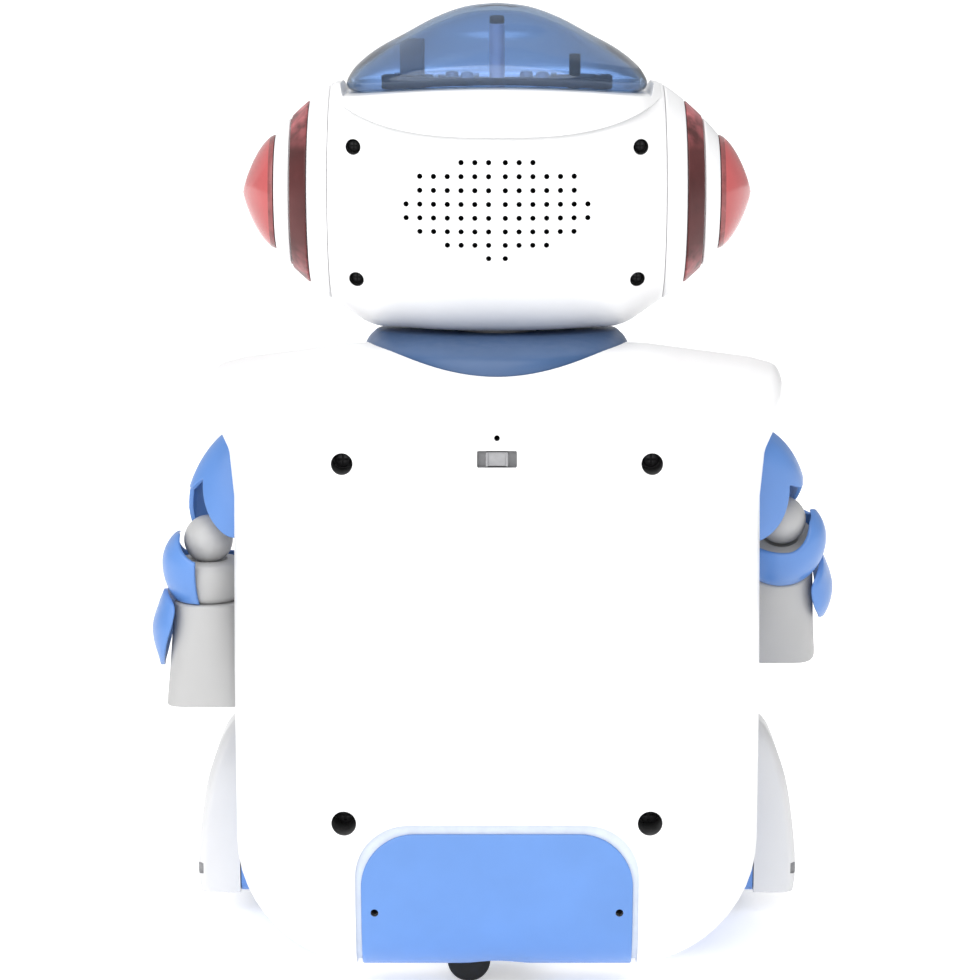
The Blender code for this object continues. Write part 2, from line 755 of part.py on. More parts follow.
def drive_wheels():
    low, high = WHEEL_X
    tread = 0.0030
    for side, sign in SIDES.items():
        centre = (0, WHEEL_Y, WHEEL_RADIUS)
        bm = bmesh.new()
        hub = WHEEL_RADIUS - tread - GAP
        profile = [(0.0028, low), (hub, low), (hub, high), (0.0028, high)]
        add_lathe(bm, [(r, sign * x) for r, x in profile], "X", centre, 18, ring=True)
        finish(f"wheel_hub_{side}", bm, "grey_plastic", origin=(sign * low, WHEEL_Y, WHEEL_RADIUS))
        bm = bmesh.new()
        inner = WHEEL_RADIUS - tread
        profile = [(inner, low), (WHEEL_RADIUS - 0.0006, low), (WHEEL_RADIUS, low + 0.0010)]
        profile += [(WHEEL_RADIUS, high - 0.0010), (WHEEL_RADIUS - 0.0006, high), (inner, high)]
        add_lathe(bm, [(r, sign * x) for r, x in profile], "X", centre, 24, ring=True)
        finish(f"tyre_{side}", bm, "rubber", origin=(sign * low, WHEEL_Y, WHEEL_RADIUS))
        bm = bmesh.new()
        add_box(
            bm,
            (min(sign * 0.030, sign * 0.0548), WHEEL_Y - 0.0105, CHASSIS_Z[0] + 0.0028),
            (max(sign * 0.030, sign * 0.0548), WHEEL_Y + 0.0180, 0.0330),
        )
        motor = finish(f"gearmotor_{side}", bm, "grey_plastic")
        bm = bmesh.new()
        add_rod(bm, 0.0025, "X", (sign * 0.050, WHEEL_Y, WHEEL_RADIUS), sign * 0.0235, 12)
        boolean(motor, finish(f"axle_{side}", bm), "UNION")


def caster():
    """A swivel fork on an upright pin, and a small wheel that trails to one side of it."""
    x0, y0 = CASTER
    x = x0 + CASTER_TRAIL
    bm = bmesh.new()
    add_rod(bm, 0.0068, "Z", (x0, y0, 0.0138), 0.0022, 16)
    fork = finish("caster_fork", bm, "black_plastic", origin=(x0, y0, 0.0138))
    bm = bmesh.new()
    for sign in (1, -1):
        low, high = sorted((y0 + sign * 0.0032, y0 + sign * 0.0046))
        corners = [(x0 - 0.003, 0.0145, 0), (x + 0.0022, 0.0145, 0), (x + 0.0022, 0.0038, 0.0018)]
        corners.append((x - 0.0022, 0.0038, 0.0018))
        outline = rounded(corners, 3)
        add_loft(bm, [standing(outline, low), standing(outline, high)])
    add_rod(bm, 0.0030, "Z", (x0, y0, 0.0150), 0.0090, 12)
    add_rod(bm, 0.0010, "Y", (x, y0 - 0.0040, CASTER_RADIUS), 0.0080, 8)
    boolean(fork, finish("fork_parts", bm), "UNION")
    bm = bmesh.new()
    tyre = CASTER_RADIUS
    profile = [(0.0013, -0.0028), (tyre - 0.0010, -0.0028), (tyre, -0.0016)]
    profile += [(tyre, 0.0016), (tyre - 0.0010, 0.0028), (0.0013, 0.0028)]
    add_lathe(bm, profile, "Y", (x, y0, CASTER_RADIUS), 20, ring=True)
    finish("caster_wheel", bm, "black_plastic", origin=(x, y0, CASTER_RADIUS))


def battery_pack():
    """The battery box behind the door, with the bearing block for the caster's pin under it."""
    bm = bmesh.new()
    add_box(bm, (-0.0330, 0.0220, 0.0165), (0.0330, 0.0515, 0.0490))
    pack = finish("battery_pack", bm, "black_plastic")
    bm = bmesh.new()
    add_rod(bm, 0.0033, "Z", (*CASTER, 0.0100), 0.0170, 12)
    boolean(pack, finish("caster_bore", bm))


def empty(name, location, parent=None, swing=0.0):
    made = bpy.data.objects.new(name, None)
    bpy.context.scene.collection.objects.link(made)
    made.location = location
    made.rotation_euler.x = -math.radians(swing)
    made.parent = parent
    return made


def sleeve_radius(z):
    share = (0.1048 - z) / (0.1048 - HAND_Z)
    return 0.0105 + 0.0019 * share


def shoulder(side, sign, pivot):
    """A blue cap like a quarter egg, with a flat inner side, a flat underside and a hub."""
    centre = (0.0667, 0.0, 0.1310)
    reach = (0.0252, 0.0145, 0.0270)
    inner, floor = 0.0710, 0.1237
    bm = bmesh.new()
    loops = []
    for k in range(9):
        z = floor + (centre[2] + reach[2] * 0.97 - floor) * k / 8
        scale = math.sqrt(1 - ((z - centre[2]) / reach[2]) ** 2)
        limit = math.acos((inner - centre[0]) / (reach[0] * scale))
        loop = []
        for i in range(13):
            angle = limit * (i / 6 - 1)
            x = centre[0] + reach[0] * scale * math.cos(angle)
            loop.append((sign * (x - ARM_X), reach[1] * scale * math.sin(angle), z - SHOULDER_Z))
        loops.append(loop)
    add_loft(bm, loops)
    cap = finish(f"shoulder_{side}", bm, "blue_plastic", parent=pivot)
    bm = bmesh.new()
    add_rod(bm, 0.0065, "X", (sign * (0.0668 - ARM_X), 0, 0), sign * 0.0060, 16)
    hub = finish(f"shoulder_hub_{side}", bm, parent=pivot)
    boolean(cap, hub, "UNION")
    bm = bmesh.new()
    profile = []
    for k in range(6):
        angle = math.radians(88 * (1 - k / 5)) if k < 5 else math.radians(4)
        profile.append((BALL_RADIUS * math.sin(angle), -BALL_RADIUS * math.cos(angle)))
    drop = ELBOW_Z - SHOULDER_Z
    add_lathe(bm, profile, "Z", (0, 0, drop), 16)
    finish(f"elbow_ball_{side}", bm, "white_shell", parent=pivot)


def smooth_step(low, high, value):
    share = min(max((value - low) / (high - low), 0.0), 1.0)
    return share * share * (3 - 2 * share)


def cuff_top(side, angle):
    """Height of the cuff's upper edge: highest at the outer side of the arm, angle 0, and lowest in front."""
    turn = math.degrees(angle)
    if turn < 0:
        return 0.1250 - 0.0078 * smooth_step(12, 50, -turn)
    return 0.1250 - (0.0078 if side == "left" else 0.0044) * smooth_step(35, 85, turn)


def cuff(side, sign, pivot):
    """The C-shaped blue cover round the elbow cup, high at the outer side of the arm."""
    first, last = (math.radians(a) for a in CUFF_SPAN[side])

    def skin(inset):
        def surface(u, v):
            angle = first + u * (last - first)
            top = cuff_top(side, angle)
            z = 0.1050 + v * (top - 0.1050)
            height = (z - 0.1160) / (0.0125 if z > 0.1160 else 0.0160)
            radius = 0.0137 * math.sqrt(1 - height * height) - inset
            return (sign * radius * math.cos(angle), radius * math.sin(angle), z - ELBOW_Z)

        return surface

    bm = bmesh.new()
    add_slab(bm, skin(0.0), skin(0.0013), 14, 4)
    finish(f"elbow_cuff_{side}", bm, "blue_plastic", parent=pivot)


def forearm(side, sign, pivot):
    bm = bmesh.new()
    low = 0.1051 - ELBOW_Z
    profile = [(0.0083, low), (0.0092, low + 0.0010), (0.0110, low + 0.0060), (0.0113, low + 0.0095)]
    profile += [(0.0104, low + 0.0120), (0.0096, low + 0.0127), (0.0086, low + 0.0122), (0.0070, low + 0.0112)]
    profile += [(0.0034, low + 0.0098), (0.0005, low + 0.0095)]
    add_lathe(bm, profile, "Z", (0, 0, 0), 20)
    finish(f"elbow_cup_{side}", bm, "white_shell", parent=pivot)
    bm = bmesh.new()
    top = 0.1048 - ELBOW_Z
    bottom = HAND_Z - ELBOW_Z
    high, wide = sleeve_radius(0.1048), sleeve_radius(HAND_Z)
    profile = [(high - 0.0008, top), (high, top - 0.0008), (wide, bottom + 0.0004), (wide - 0.0004, bottom)]
    profile += [(wide - 0.0018, bottom), (wide - 0.0018, bottom + 0.0030)]
    loops = []
    for radius, z in profile:
        power = 2 + 2.4 * (top - z) / (top - bottom)
        loop = []
        for i in range(32):
            a, b = math.cos(math.pi * i / 16), math.sin(math.pi * i / 16)
            reach = radius * (abs(a) ** power + abs(b) ** power) ** (-1 / power)
            loop.append((reach * a, reach * b, z))
        loops.append(loop)
    add_loft(bm, loops)
    finish(f"forearm_{side}", bm, "white_shell", parent=pivot)
    cuff(side, sign, pivot)
    fin(side, sign, pivot)


def fin(side, sign, pivot):
    """A leaf-shaped shield on the outer side. Height, inner and outer x, and half its depth."""
    stations = (
        (0.1080, 0.0980, 0.0988, 0.0012),
        (0.1062, 0.0972, 0.0996, 0.0042),
        (0.1020, 0.0966, 0.1010, 0.0072),
        (0.0969, 0.0971, 0.1020, 0.0084),
        (0.0910, 0.0981, 0.1015, 0.0066),
        (0.0850, 0.0992, 0.0998, 0.0010),
    )
    loops = []
    for z, inner, outer, depth in stations:
        loop = []
        for i in range(9):
            across = -1 + i / 4
            bulge = 1 - 0.75 * across * across
            loop.append((inner + (outer - inner) * bulge, depth * across))
        loop += [(inner, depth * 0.9), (inner, -depth * 0.9)]
        loops.append([(sign * (x - ARM_X), y, z - ELBOW_Z) for x, y in loop])
    bm = bmesh.new()
    add_loft(bm, loops)
    finish(f"forearm_fin_{side}", bm, "blue_plastic", parent=pivot)


def arms():
    for side, sign in SIDES.items():
        pivot = empty(f"shoulder_axis_{side}", (sign * ARM_X, 0, SHOULDER_Z), swing=ARM_SWING[side])
        elbow = empty(f"elbow_axis_{side}", (0, 0, ELBOW_Z - SHOULDER_Z), parent=pivot)
        shoulder(side, sign, pivot)
        forearm(side, sign, elbow)


def main():
    for old in list(bpy.data.objects):
        bpy.data.objects.remove(old)
    head_rear_shell()
    head_front_shell()
    face_visor()
    head_crown()
    dome()
    dome_lights()
    speaker()
    ears()
    head_screws()
    neck_collar()
    torso_rear_shell()
    torso_front_shell()
    battery_door()
    torso_screws()
    chest()
    power_switch()
    chassis()
    legs()
    drive_wheels()
    caster()
    battery_pack()
    arms()


main()
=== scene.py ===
"""Looks of the educational coding robot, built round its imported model.

The robot faces -Y and +X is its own left. All sizes are in metres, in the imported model's frame.
"""

import json
import math

import bmesh
import bpy
from mathutils import Matrix, Vector
from mathutils.bvhtree import BVHTree
from mathutils.interpolate import poly_3d_calc


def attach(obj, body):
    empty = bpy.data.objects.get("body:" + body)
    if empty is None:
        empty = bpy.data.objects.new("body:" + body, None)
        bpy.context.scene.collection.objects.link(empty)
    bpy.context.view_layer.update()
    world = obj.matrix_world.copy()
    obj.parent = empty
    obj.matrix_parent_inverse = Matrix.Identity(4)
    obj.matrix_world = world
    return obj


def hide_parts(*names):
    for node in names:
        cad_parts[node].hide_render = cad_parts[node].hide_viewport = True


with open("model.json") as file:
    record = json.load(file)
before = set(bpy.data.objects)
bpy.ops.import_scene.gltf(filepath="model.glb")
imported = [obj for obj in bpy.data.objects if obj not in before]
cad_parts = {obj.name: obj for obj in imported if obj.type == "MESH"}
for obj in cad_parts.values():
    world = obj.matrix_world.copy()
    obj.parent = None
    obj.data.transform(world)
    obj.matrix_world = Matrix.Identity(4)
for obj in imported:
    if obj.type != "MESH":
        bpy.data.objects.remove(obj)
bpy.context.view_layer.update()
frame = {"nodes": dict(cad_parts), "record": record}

GAP = 0.0003  # clearance between pieces that touch
SIDES = {"left": 1, "right": -1}

# Head: a lemon turned about the X axis, flattened above and below.
HEAD_Z = 0.2251
HEAD_HALF = 0.0734
HEAD_RADIUS = 0.0435
HEAD_FLOOR = 0.1861
HEAD_ROOF = 0.2526
HEAD_WALL = 0.002
SHELL_HALF = 0.0475
NECK_HOLE = 0.0125
CROWN_TOP = 0.2560
CROWN_HALF = 0.0466
CROWN_DROP = 0.0098
CROWN_LOW = 0.2433
CROWN_LIFT = 0.0022
CROWN_WALL = 0.0011
VISOR = (0.0335, 0.0165, 0.0135)  # half width, half height, corner radius
VISOR_Z = HEAD_Z + 0.0015
EYE_X = 0.0150
EYE_RADIUS = 0.0052

# Ears.
EAR_BAND = (0.0538, 0.0587)
EAR_RIM_END = 0.0635
EAR_STEP = 0.0016
EAR_TIP_END = 0.0734

# Light dome.
DOME_TOP = 0.2791
DOME_BASE = CROWN_TOP + GAP
DOME_HALF = 0.0431
DOME_DEPTH_RATIO = 0.64
DOME_SQUARE = 2.7  # 2 would be an ellipse
DOME_SAG = 0.0024  # how far the dome's base falls at its ends
DOME_WALL = 0.0016

# Speaker grille, as hole counts on one side of the middle, from the top row down.
GRILLE_ROWS = (3, 6, 6, 7, 7, 6, 4, 1)
GRILLE_FIRST = 0.0023
GRILLE_PITCH = 0.0038
GRILLE_TOP = 0.2365
GRILLE_HOLE = 0.00075
GRILLE_MIDDLE = 0.2235
GRILLE_SWELL = (0.0290, 0.0158, 0.0004)  # half width, half height, lift

# Screws of the head: x, z and depth where the recess ends. Screws of the torso: x, z and recess radius.
HEAD_SCREWS = ((0.0400, 0.2402, 0.0257), (0.0395, 0.2029, 0.0217))
HEAD_RECESS = 0.00215
TORSO_SCREWS = ((0.0427, 0.1550, 0.0030), (0.0429, 0.0532, 0.0035))
TORSO_SCREW_Y = 0.0470
DOOR_SCREW = (0.0345, 0.0270)
DOOR_SCREW_HOLE = 0.0011
CORNERS = ("upper_left", "upper_right", "lower_left", "lower_right")

# Neck collar.
COLLAR_Y = 0.004
COLLAR_HALF = 0.0384
COLLAR_DEPTH = 0.0388
COLLAR_BOTTOM = 0.1720
COLLAR_CLEARANCE = 0.0005

# Torso outline, seen from behind, and its shells.
TORSO_TOP = 0.1850
TORSO_BOTTOM = 0.0060
TORSO_MIDDLE = 0.0950
WING = (0.0814, 0.1768)
WAIST = (0.0766, 0.1575)
HIP_X = 0.0758
BOTTOM_CORNER = 0.0345
TORSO_WALL = 0.0022
RIM_Y = 0.0180
BACK_Y = 0.0600
FRONT_Y = -0.0490
FRONT_BASE_Z = 0.0585

# Battery door.
DOOR_HALF = 0.0386
DOOR_TOP = 0.0514
DOOR_CORNER = 0.0150
DOOR_Y = 0.0520
DOOR_GAP = 0.0013
DOOR_HUB = (0.0300, 0.0300)  # y, z of the line that the door's surface is measured from

# Switch, charge light, chest.
SWITCH_Z = 0.1563
SWITCH_SLOT = (0.0110, 0.0045)
SWITCH_KNOB = (0.0062, 0.0038)
LIGHT_Z = 0.1619
PANEL = (0.035, 0.028)
PANEL_Z = 0.1180
BUTTON_RADIUS = 0.0055
BUTTON_REACH = 0.0150
BUTTON_CLEARANCE = 0.0006

# Arms, hanging straight; the right one is swung forward.
ARM_X = 0.0850
SHOULDER_Z = 0.1470
ELBOW_Z = 0.1234
BALL_RADIUS = 0.0072
BALL_DROP = 0.0006
ARM_SWING = {"left": 0.0, "right": 31.0}
CUFF_LOW = 0.1050
CUFF_MIDDLE = 0.1160  # height of its widest ring
CUFF_HIGH = 0.1250
CUFF_RADIUS = 0.0137
CUFF_SPAN = {"left": (-145.0, 77.0), "right": (-77.0, 145.0)}
CAP_CENTRE = (0.0667, 0.0, 0.1310)
CAP_REACH = (0.0252, 0.0145, 0.0282)
CAP_INNER = 0.0710
CAP_FLOOR = 0.1237
SLEEVE = ((0.1048, 0.0105), (0.0748, 0.0124))  # height and radius at each end

# Drive wheels, covers, chassis and caster.
WHEEL_RADIUS = 0.0150
WHEEL_Y = -0.0410
WHEEL_X = (0.0630, 0.0745)
TREAD = 0.0030
TREAD_GROOVES = 30
LEG_Y = (-0.0600, -0.0220)
LEG_INNER = 0.0790
LEG_FLOOR = 0.0074
POD_HALF = 0.0787
POD_TOP = 0.0480
CHASSIS_HALF = 0.0580
CHASSIS_Y = (-0.0550, 0.0150)
CHASSIS_Z = (0.0090, 0.0582)
CASTER = (0.0, 0.0370)
CASTER_TRAIL = 0.0081
CASTER_RADIUS = 0.0062
CASTER_POCKET = 0.0152

record = frame["record"]
BODY_OF = {node: body for body, nodes in record["behaviour"]["bodies"].items() for node in nodes}
SLOT_OF = {part["node"]: part["material_slot"] for part in record["subparts"]}

# Camera: place, downward pitch in degrees, lens in millimetres and sideways shift.
CAMERA_PLACE = (0.0, 0.910, 0.300)
CAMERA_PITCH = 10.127
CAMERA_LENS = 115.53
CAMERA_SHIFT = -0.0071
FLOOR_REACH = 40.0

# Materials and shading.
GLOSS_SPREAD = 0.12  # share by which the roughness varies
GRAIN_SCALE = 2600.0
STREAKS = (0.0130, 0.0260)  # distance from the head's middle height where streaks start and are full
SHARP = math.radians(40)
SHARP_AFTER_CUTS = math.radians(35)

# ---------------------------------------------------------------- studio


def studio():
    """Camera at the height and angle of the view from behind, soft light all round and a pale floor."""
    scene = bpy.context.scene
    scene.view_settings.view_transform = "Standard"
    data = bpy.data.cameras.new("camera")
    data.sensor_width = 36.0
    data.lens = CAMERA_LENS
    data.shift_x = CAMERA_SHIFT
    data.clip_start = 0.05
    camera = bpy.data.objects.new("camera", data)
    camera.location = CAMERA_PLACE
    camera.rotation_euler = (math.radians(90 - CAMERA_PITCH), 0.0, math.pi)
    scene.collection.objects.link(camera)
    scene.camera = camera

    world = bpy.data.worlds.new("studio")
    world.use_nodes = True
    world.node_tree.nodes["Background"].inputs["Color"].default_value = (0.99, 0.995, 1.0, 1.0)
    world.node_tree.nodes["Background"].inputs["Strength"].default_value = 0.45
    scene.world = world

    lamps = {"key": (2.6, 80, (0.22, 0.80, 0.62)), "front_fill": (0.55, 90, (0.30, -0.70, 0.60))}
    for name, (energy, spread, direction) in lamps.items():
        sun = bpy.data.lights.new(name, "SUN")
        sun.energy = energy
        sun.angle = math.radians(spread)
        lamp = bpy.data.objects.new(name, sun)
        lamp.rotation_euler = Vector(direction).to_track_quat("Z", "Y").to_euler()
        scene.collection.objects.link(lamp)

    mesh = bpy.data.meshes.new("floor")
    corners = [(x * FLOOR_REACH, y * FLOOR_REACH, 0) for x, y in ((-1, -1), (1, -1), (1, 1), (-1, 1))]
    mesh.from_pydata(corners, [], [(0, 1, 2, 3)])
    floor = bpy.data.objects.new("floor", mesh)
    scene.collection.objects.link(floor)
    paper = dict(spread=0.006, patch=3.0, grain=0.0, Emission_Strength=0.42)
    mesh.materials.append(moulded("paper_sweep", (0.97, 0.97, 0.97), 0.9, **paper))


# ---------------------------------------------------------------- materials


def noise(tree, place, scale, detail=2.0):
    made = tree.nodes.new("ShaderNodeTexNoise")
    made.inputs["Scale"].default_value = scale
    made.inputs["Detail"].default_value = detail
    tree.links.new(place.outputs["Object"], made.inputs["Vector"])
    return made.outputs["Fac"]


def ranged(tree, value, low, high):
    made = tree.nodes.new("ShaderNodeMapRange")
    made.inputs["From Min"].default_value = 0.3
    made.inputs["From Max"].default_value = 0.7
    made.inputs["To Min"].default_value = low
    made.inputs["To Max"].default_value = high
    tree.links.new(value, made.inputs["Value"])
    return made.outputs["Result"]


def mixed(tree, factor, first, second):
    """A blend of two colours, each a socket or a tuple."""
    made = tree.nodes.new("ShaderNodeMix")
    made.data_type = "RGBA"
    tree.links.new(factor, made.inputs["Factor"])
    for key, colour in (("A", first), ("B", second)):
        if isinstance(colour, tuple):
            made.inputs[key].default_value = (*colour, 1.0)
        else:
            tree.links.new(colour, made.inputs[key])
    return made.outputs["Result"]


def moulded(name, colour, roughness, spread=0.025, patch=60.0, grain=0.00001, **sockets):
    """A moulded material: faint patches of shade, uneven gloss and a fine surface grain."""
    made = bpy.data.materials.new(name)
    made.use_nodes = True
    tree = made.node_tree
    shader = tree.nodes["Principled BSDF"]
    place = tree.nodes.new("ShaderNodeTexCoord")
    dark, light = (tuple(min(c * (1 + change), 1.0) for c in colour) for change in (-spread, spread))
    tone = mixed(tree, ranged(tree, noise(tree, place, patch, 3.0), 0.0, 1.0), dark, light)
    tree.links.new(tone, shader.inputs["Base Color"])
    low, high = roughness * (1 - GLOSS_SPREAD), roughness * (1 + GLOSS_SPREAD)
    gloss = ranged(tree, noise(tree, place, patch * 5), low, high)
    tree.links.new(gloss, shader.inputs["Roughness"])
    if grain:
        bump = tree.nodes.new("ShaderNodeBump")
        bump.inputs["Distance"].default_value = grain
        bump.inputs["Strength"].default_value = 1.0
        tree.links.new(noise(tree, place, GRAIN_SCALE, 1.0), bump.inputs["Height"])
        tree.links.new(bump.outputs["Normal"], shader.inputs["Normal"])
    for socket, value in sockets.items():
        shader.inputs[socket.replace("_", " ")].default_value = value
    return made


def recolour(name, colour, factor_from):
    """Shifts a material's colour towards another one, by the factor that factor_from(tree) makes."""
    tree = bpy.data.materials[name].node_tree
    base = tree.nodes["Principled BSDF"].inputs["Base Color"]
    tree.links.new(mixed(tree, factor_from(tree), base.links[0].from_socket, colour), base)


def edge_factor(tree):
    """Grows where the surface is seen edge on."""
    facing = tree.nodes.new("ShaderNodeLayerWeight")
    facing.inputs["Blend"].default_value = 0.46
    return facing.outputs["Facing"]


def arithmetic(tree, operation, first, second=0.0):
    made = tree.nodes.new("ShaderNodeMath")
    made.operation = operation
    for socket, value in zip(made.inputs, (first, second)):
        if isinstance(value, float):
            socket.default_value = value
        else:
            tree.links.new(value, socket)
    return made.outputs["Value"]


def streak_factor(tree):
    """Patches that grow with the distance above and below the head's middle height."""
    place = tree.nodes.new("ShaderNodeTexCoord")
    split = tree.nodes.new("ShaderNodeSeparateXYZ")
    tree.links.new(place.outputs["Object"], split.inputs["Vector"])
    away = arithmetic(tree, "ABSOLUTE", arithmetic(tree, "SUBTRACT", split.outputs["Z"], HEAD_Z))
    grown = tree.nodes.new("ShaderNodeMapRange")
    grown.inputs["From Min"].default_value, grown.inputs["From Max"].default_value = STREAKS
    tree.links.new(away, grown.inputs["Value"])
    patches = ranged(tree, noise(tree, place, 240.0, 3.0), -0.2, 1.2)
    return arithmetic(tree, "MULTIPLY", grown.outputs["Result"], patches)


def make_materials():
    moulded("white_shell", (0.90, 0.90, 0.905), 0.32, spread=0.012, Coat_Weight=0.15, Coat_Roughness=0.2)
    # Greyed copy of the white shell for the elbow balls: painted shade from the torso beside the arms.
    moulded("white_arm_painted_shade", (0.46, 0.458, 0.456), 0.40, spread=0.02, Coat_Weight=0.1, Coat_Roughness=0.3)
    # Greyed copy of the white shell for the wheel covers: painted shade from the torso above them.
    moulded("white_cover_painted_shade", (0.66, 0.66, 0.665), 0.36, spread=0.015, Coat_Weight=0.1, Coat_Roughness=0.25)
    # Greyed copy of the white shell for the elbow cups and sleeves: painted shade from the torso beside the
    # arms.
    moulded("white_sleeve_painted_shade", (0.42, 0.418, 0.416), 0.42, spread=0.02, Coat_Weight=0.1, Coat_Roughness=0.3)
    moulded("blue_plastic", (0.100, 0.237, 0.575), 0.36, spread=0.04, Coat_Weight=0.15, Coat_Roughness=0.25)
    # Darker copy of the blue plastic for the neck collar: painted shade from the head above it.
    moulded("blue_painted_shade", (0.044, 0.100, 0.225), 0.40, spread=0.05, Coat_Weight=0.15, Coat_Roughness=0.3)
    moulded("blue_dome", (0.50, 0.68, 1.0), 0.05, spread=0.03, grain=0.0, Transmission_Weight=0.95, IOR=1.46)
    recolour("blue_dome", (0.07, 0.14, 0.22), edge_factor)
    moulded("red_dark", (0.092, 0.026, 0.026), 0.35, spread=0.25, patch=70.0, grain=0.0,
            Specular_IOR_Level=0.25)
    recolour("red_dark", (0.60, 0.16, 0.175), streak_factor)
    moulded("red_tip", (0.56, 0.110, 0.112), 0.20, spread=0.06, patch=90.0, grain=0.0, Coat_Weight=0.2,
            Transmission_Weight=0.12)
    moulded("black_gloss", (0.012, 0.012, 0.016), 0.07, spread=0.2, grain=0.0, Coat_Weight=0.8)
    moulded("black_plastic", (0.010, 0.011, 0.013), 0.5, spread=0.12, Specular_IOR_Level=0.25)
    moulded("grey_plastic", (0.42, 0.42, 0.44), 0.42, spread=0.05)
    moulded("board_green", (0.005, 0.009, 0.016), 0.6, spread=0.25, patch=400.0)
    moulded("steel", (0.50, 0.51, 0.53), 0.32, spread=0.08, patch=500.0, Metallic=1.0)
    moulded("dark_steel", (0.055, 0.055, 0.058), 0.42, spread=0.15, patch=500.0, Metallic=0.8)
    moulded("rubber", (0.028, 0.028, 0.028), 0.82, spread=0.15, patch=300.0, grain=0.00003)
    moulded("button_yellow", (0.86, 0.56, 0.07), 0.36, spread=0.03)
    moulded("well_shade", (0.10, 0.10, 0.102), 0.6, spread=0.3, patch=500.0)
    moulded("hole_shade", (0.012, 0.012, 0.013), 0.7, spread=0.3, patch=500.0)
    moulded("slot_shade", (0.30, 0.30, 0.31), 0.5, spread=0.1, patch=500.0)
    # Grey for the white ledge behind the door's gap: painted shade in the gap.
    moulded("seam_painted_shade", (0.62, 0.67, 0.75), 0.6, spread=0.05, patch=300.0)
    # Darker red for a strip at the base of each ear tip: painted shadow at the tip's edge.
    moulded("red_painted_shadow", (0.26, 0.075, 0.075), 0.25, spread=0.2, patch=300.0, grain=0.0)
    moulded("lamp_lens", (0.30, 0.36, 0.44), 0.25, spread=0.05, patch=300.0, grain=0.0, Coat_Weight=0.2)
    moulded("lamp_glow", (0.55, 0.80, 0.95), 0.18, spread=0.05, patch=300.0, grain=0.0, Coat_Weight=0.8)
    moulded("post_clear", (0.95, 0.84, 0.90), 0.3, spread=0.05, patch=300.0, grain=0.0)
    moulded("arrow_shade", (0.45, 0.27, 0.03), 0.45, spread=0.05)


# ---------------------------------------------------------------- shape tools


def bridge(bm, pairs):
    """Quads between the rows of each pair, which are closed and equally long."""
    made = []
    for low, high in pairs:
        for i in range(len(low)):
            j = (i + 1) % len(low)
            made.append(bm.faces.new((low[i], low[j], high[j], high[i])))
    return made


def add_loft(bm, loops, ring=False, material=0):
    """Skins closed loops of equal length. The ends are capped, or joined to each other in a ring."""
    rows = [[bm.verts.new(point) for point in loop] for loop in loops]
    made = bridge(bm, list(zip(rows, rows[1:])) + ([(rows[-1], rows[0])] if ring else []))
    if not ring:
        made += [bm.faces.new(rows[0]), bm.faces.new(reversed(rows[-1]))]
    for face in made:
        face.material_index = material


RIM_TURNS = [math.pi / 2 * k / 3 for k in range(4)]


def rim_places(rim, interior):
    """(place from 0 to 1, share of the rim's depth) across a plate: rounded edge, interior, rounded edge."""
    start = [(rim * (1 - math.sin(t)), 1 - math.cos(t)) for t in reversed(RIM_TURNS)]
    middle = [(rim + (1 - 2 * rim) * share, 0.0) for share in interior if 0 < share < 1]
    return start + middle + [(1 - place, depth) for place, depth in reversed(start)]


def evenly(count):
    return [k / count for k in range(count + 1)]


def add_plate(bm, surface, us, vs, rim_u, rim_v, rim_depth=0.3):
    """A curved plate with rounded edges. surface(u, v, depth) is a point; depth is 0 outside, 1 inside."""
    loops = []
    for u, sunk_u in rim_places(rim_u, us):
        outer, inner = [], []
        for v, sunk_v in rim_places(rim_v, vs):
            sunk = rim_depth * (1 - (1 - sunk_u) * (1 - sunk_v))
            outer.append(bm.verts.new(surface(u, v, sunk)))
            inner.append(bm.verts.new(surface(u, v, 1 - sunk)))
        loops.append(outer + inner[::-1])
    bridge(bm, zip(loops, loops[1:]))
    count = len(loops[0])
    for loop in (loops[0], loops[-1]):
        for j in range(count // 2 - 1):
            bm.faces.new((loop[j], loop[j + 1], loop[count - 2 - j], loop[count - 1 - j]))


def circle(radius, count, axis, at):
    """A loop of points round an axis, through the point at."""
    points = []
    for i in range(count):
        angle = 2 * math.pi * i / count
        a, b = radius * math.cos(angle), radius * math.sin(angle)
        offset = {"X": (0, a, b), "Y": (a, 0, b), "Z": (a, b, 0)}[axis]
        points.append(Vector(at) + Vector(offset))
    return points


def along(axis, place):
    return Vector({"X": (place, 0, 0), "Y": (0, place, 0), "Z": (0, 0, place)}[axis])


def add_lathe(bm, profile, axis, centre=(0, 0, 0), count=64, ring=False, material=0):
    """Turns (radius, place along the axis) pairs."""
    loops = []
    for radius, place in profile:
        loop = circle(radius, count, axis, (0, 0, 0))
        loops.append([p + along(axis, place) + Vector(centre) for p in loop])
    add_loft(bm, loops, ring, material)


def add_rod(bm, radius, axis, start, length, count=32):
    ends = (Vector(start), Vector(start) + along(axis, length))
    add_loft(bm, [circle(radius, count, axis, end) for end in ends])


def turned(outline, sign, centre, count):
    """A ring turned about the X axis from an outline of (radius, place along X)."""
    bm = bmesh.new()
    add_lathe(bm, [(radius, sign * x) for radius, x in outline], "X", centre, count, ring=True)
    return bm


def rod(*arguments):
    """The same as add_rod, as a tool of its own."""
    bm = bmesh.new()
    add_rod(bm, *arguments)
    return bm


def squared(a, b, power):
    """Distance along the direction (a, b) to a unit shape: a circle at power 2, squarer above."""
    return (abs(a) ** power + abs(b) ** power) ** (-1 / power)


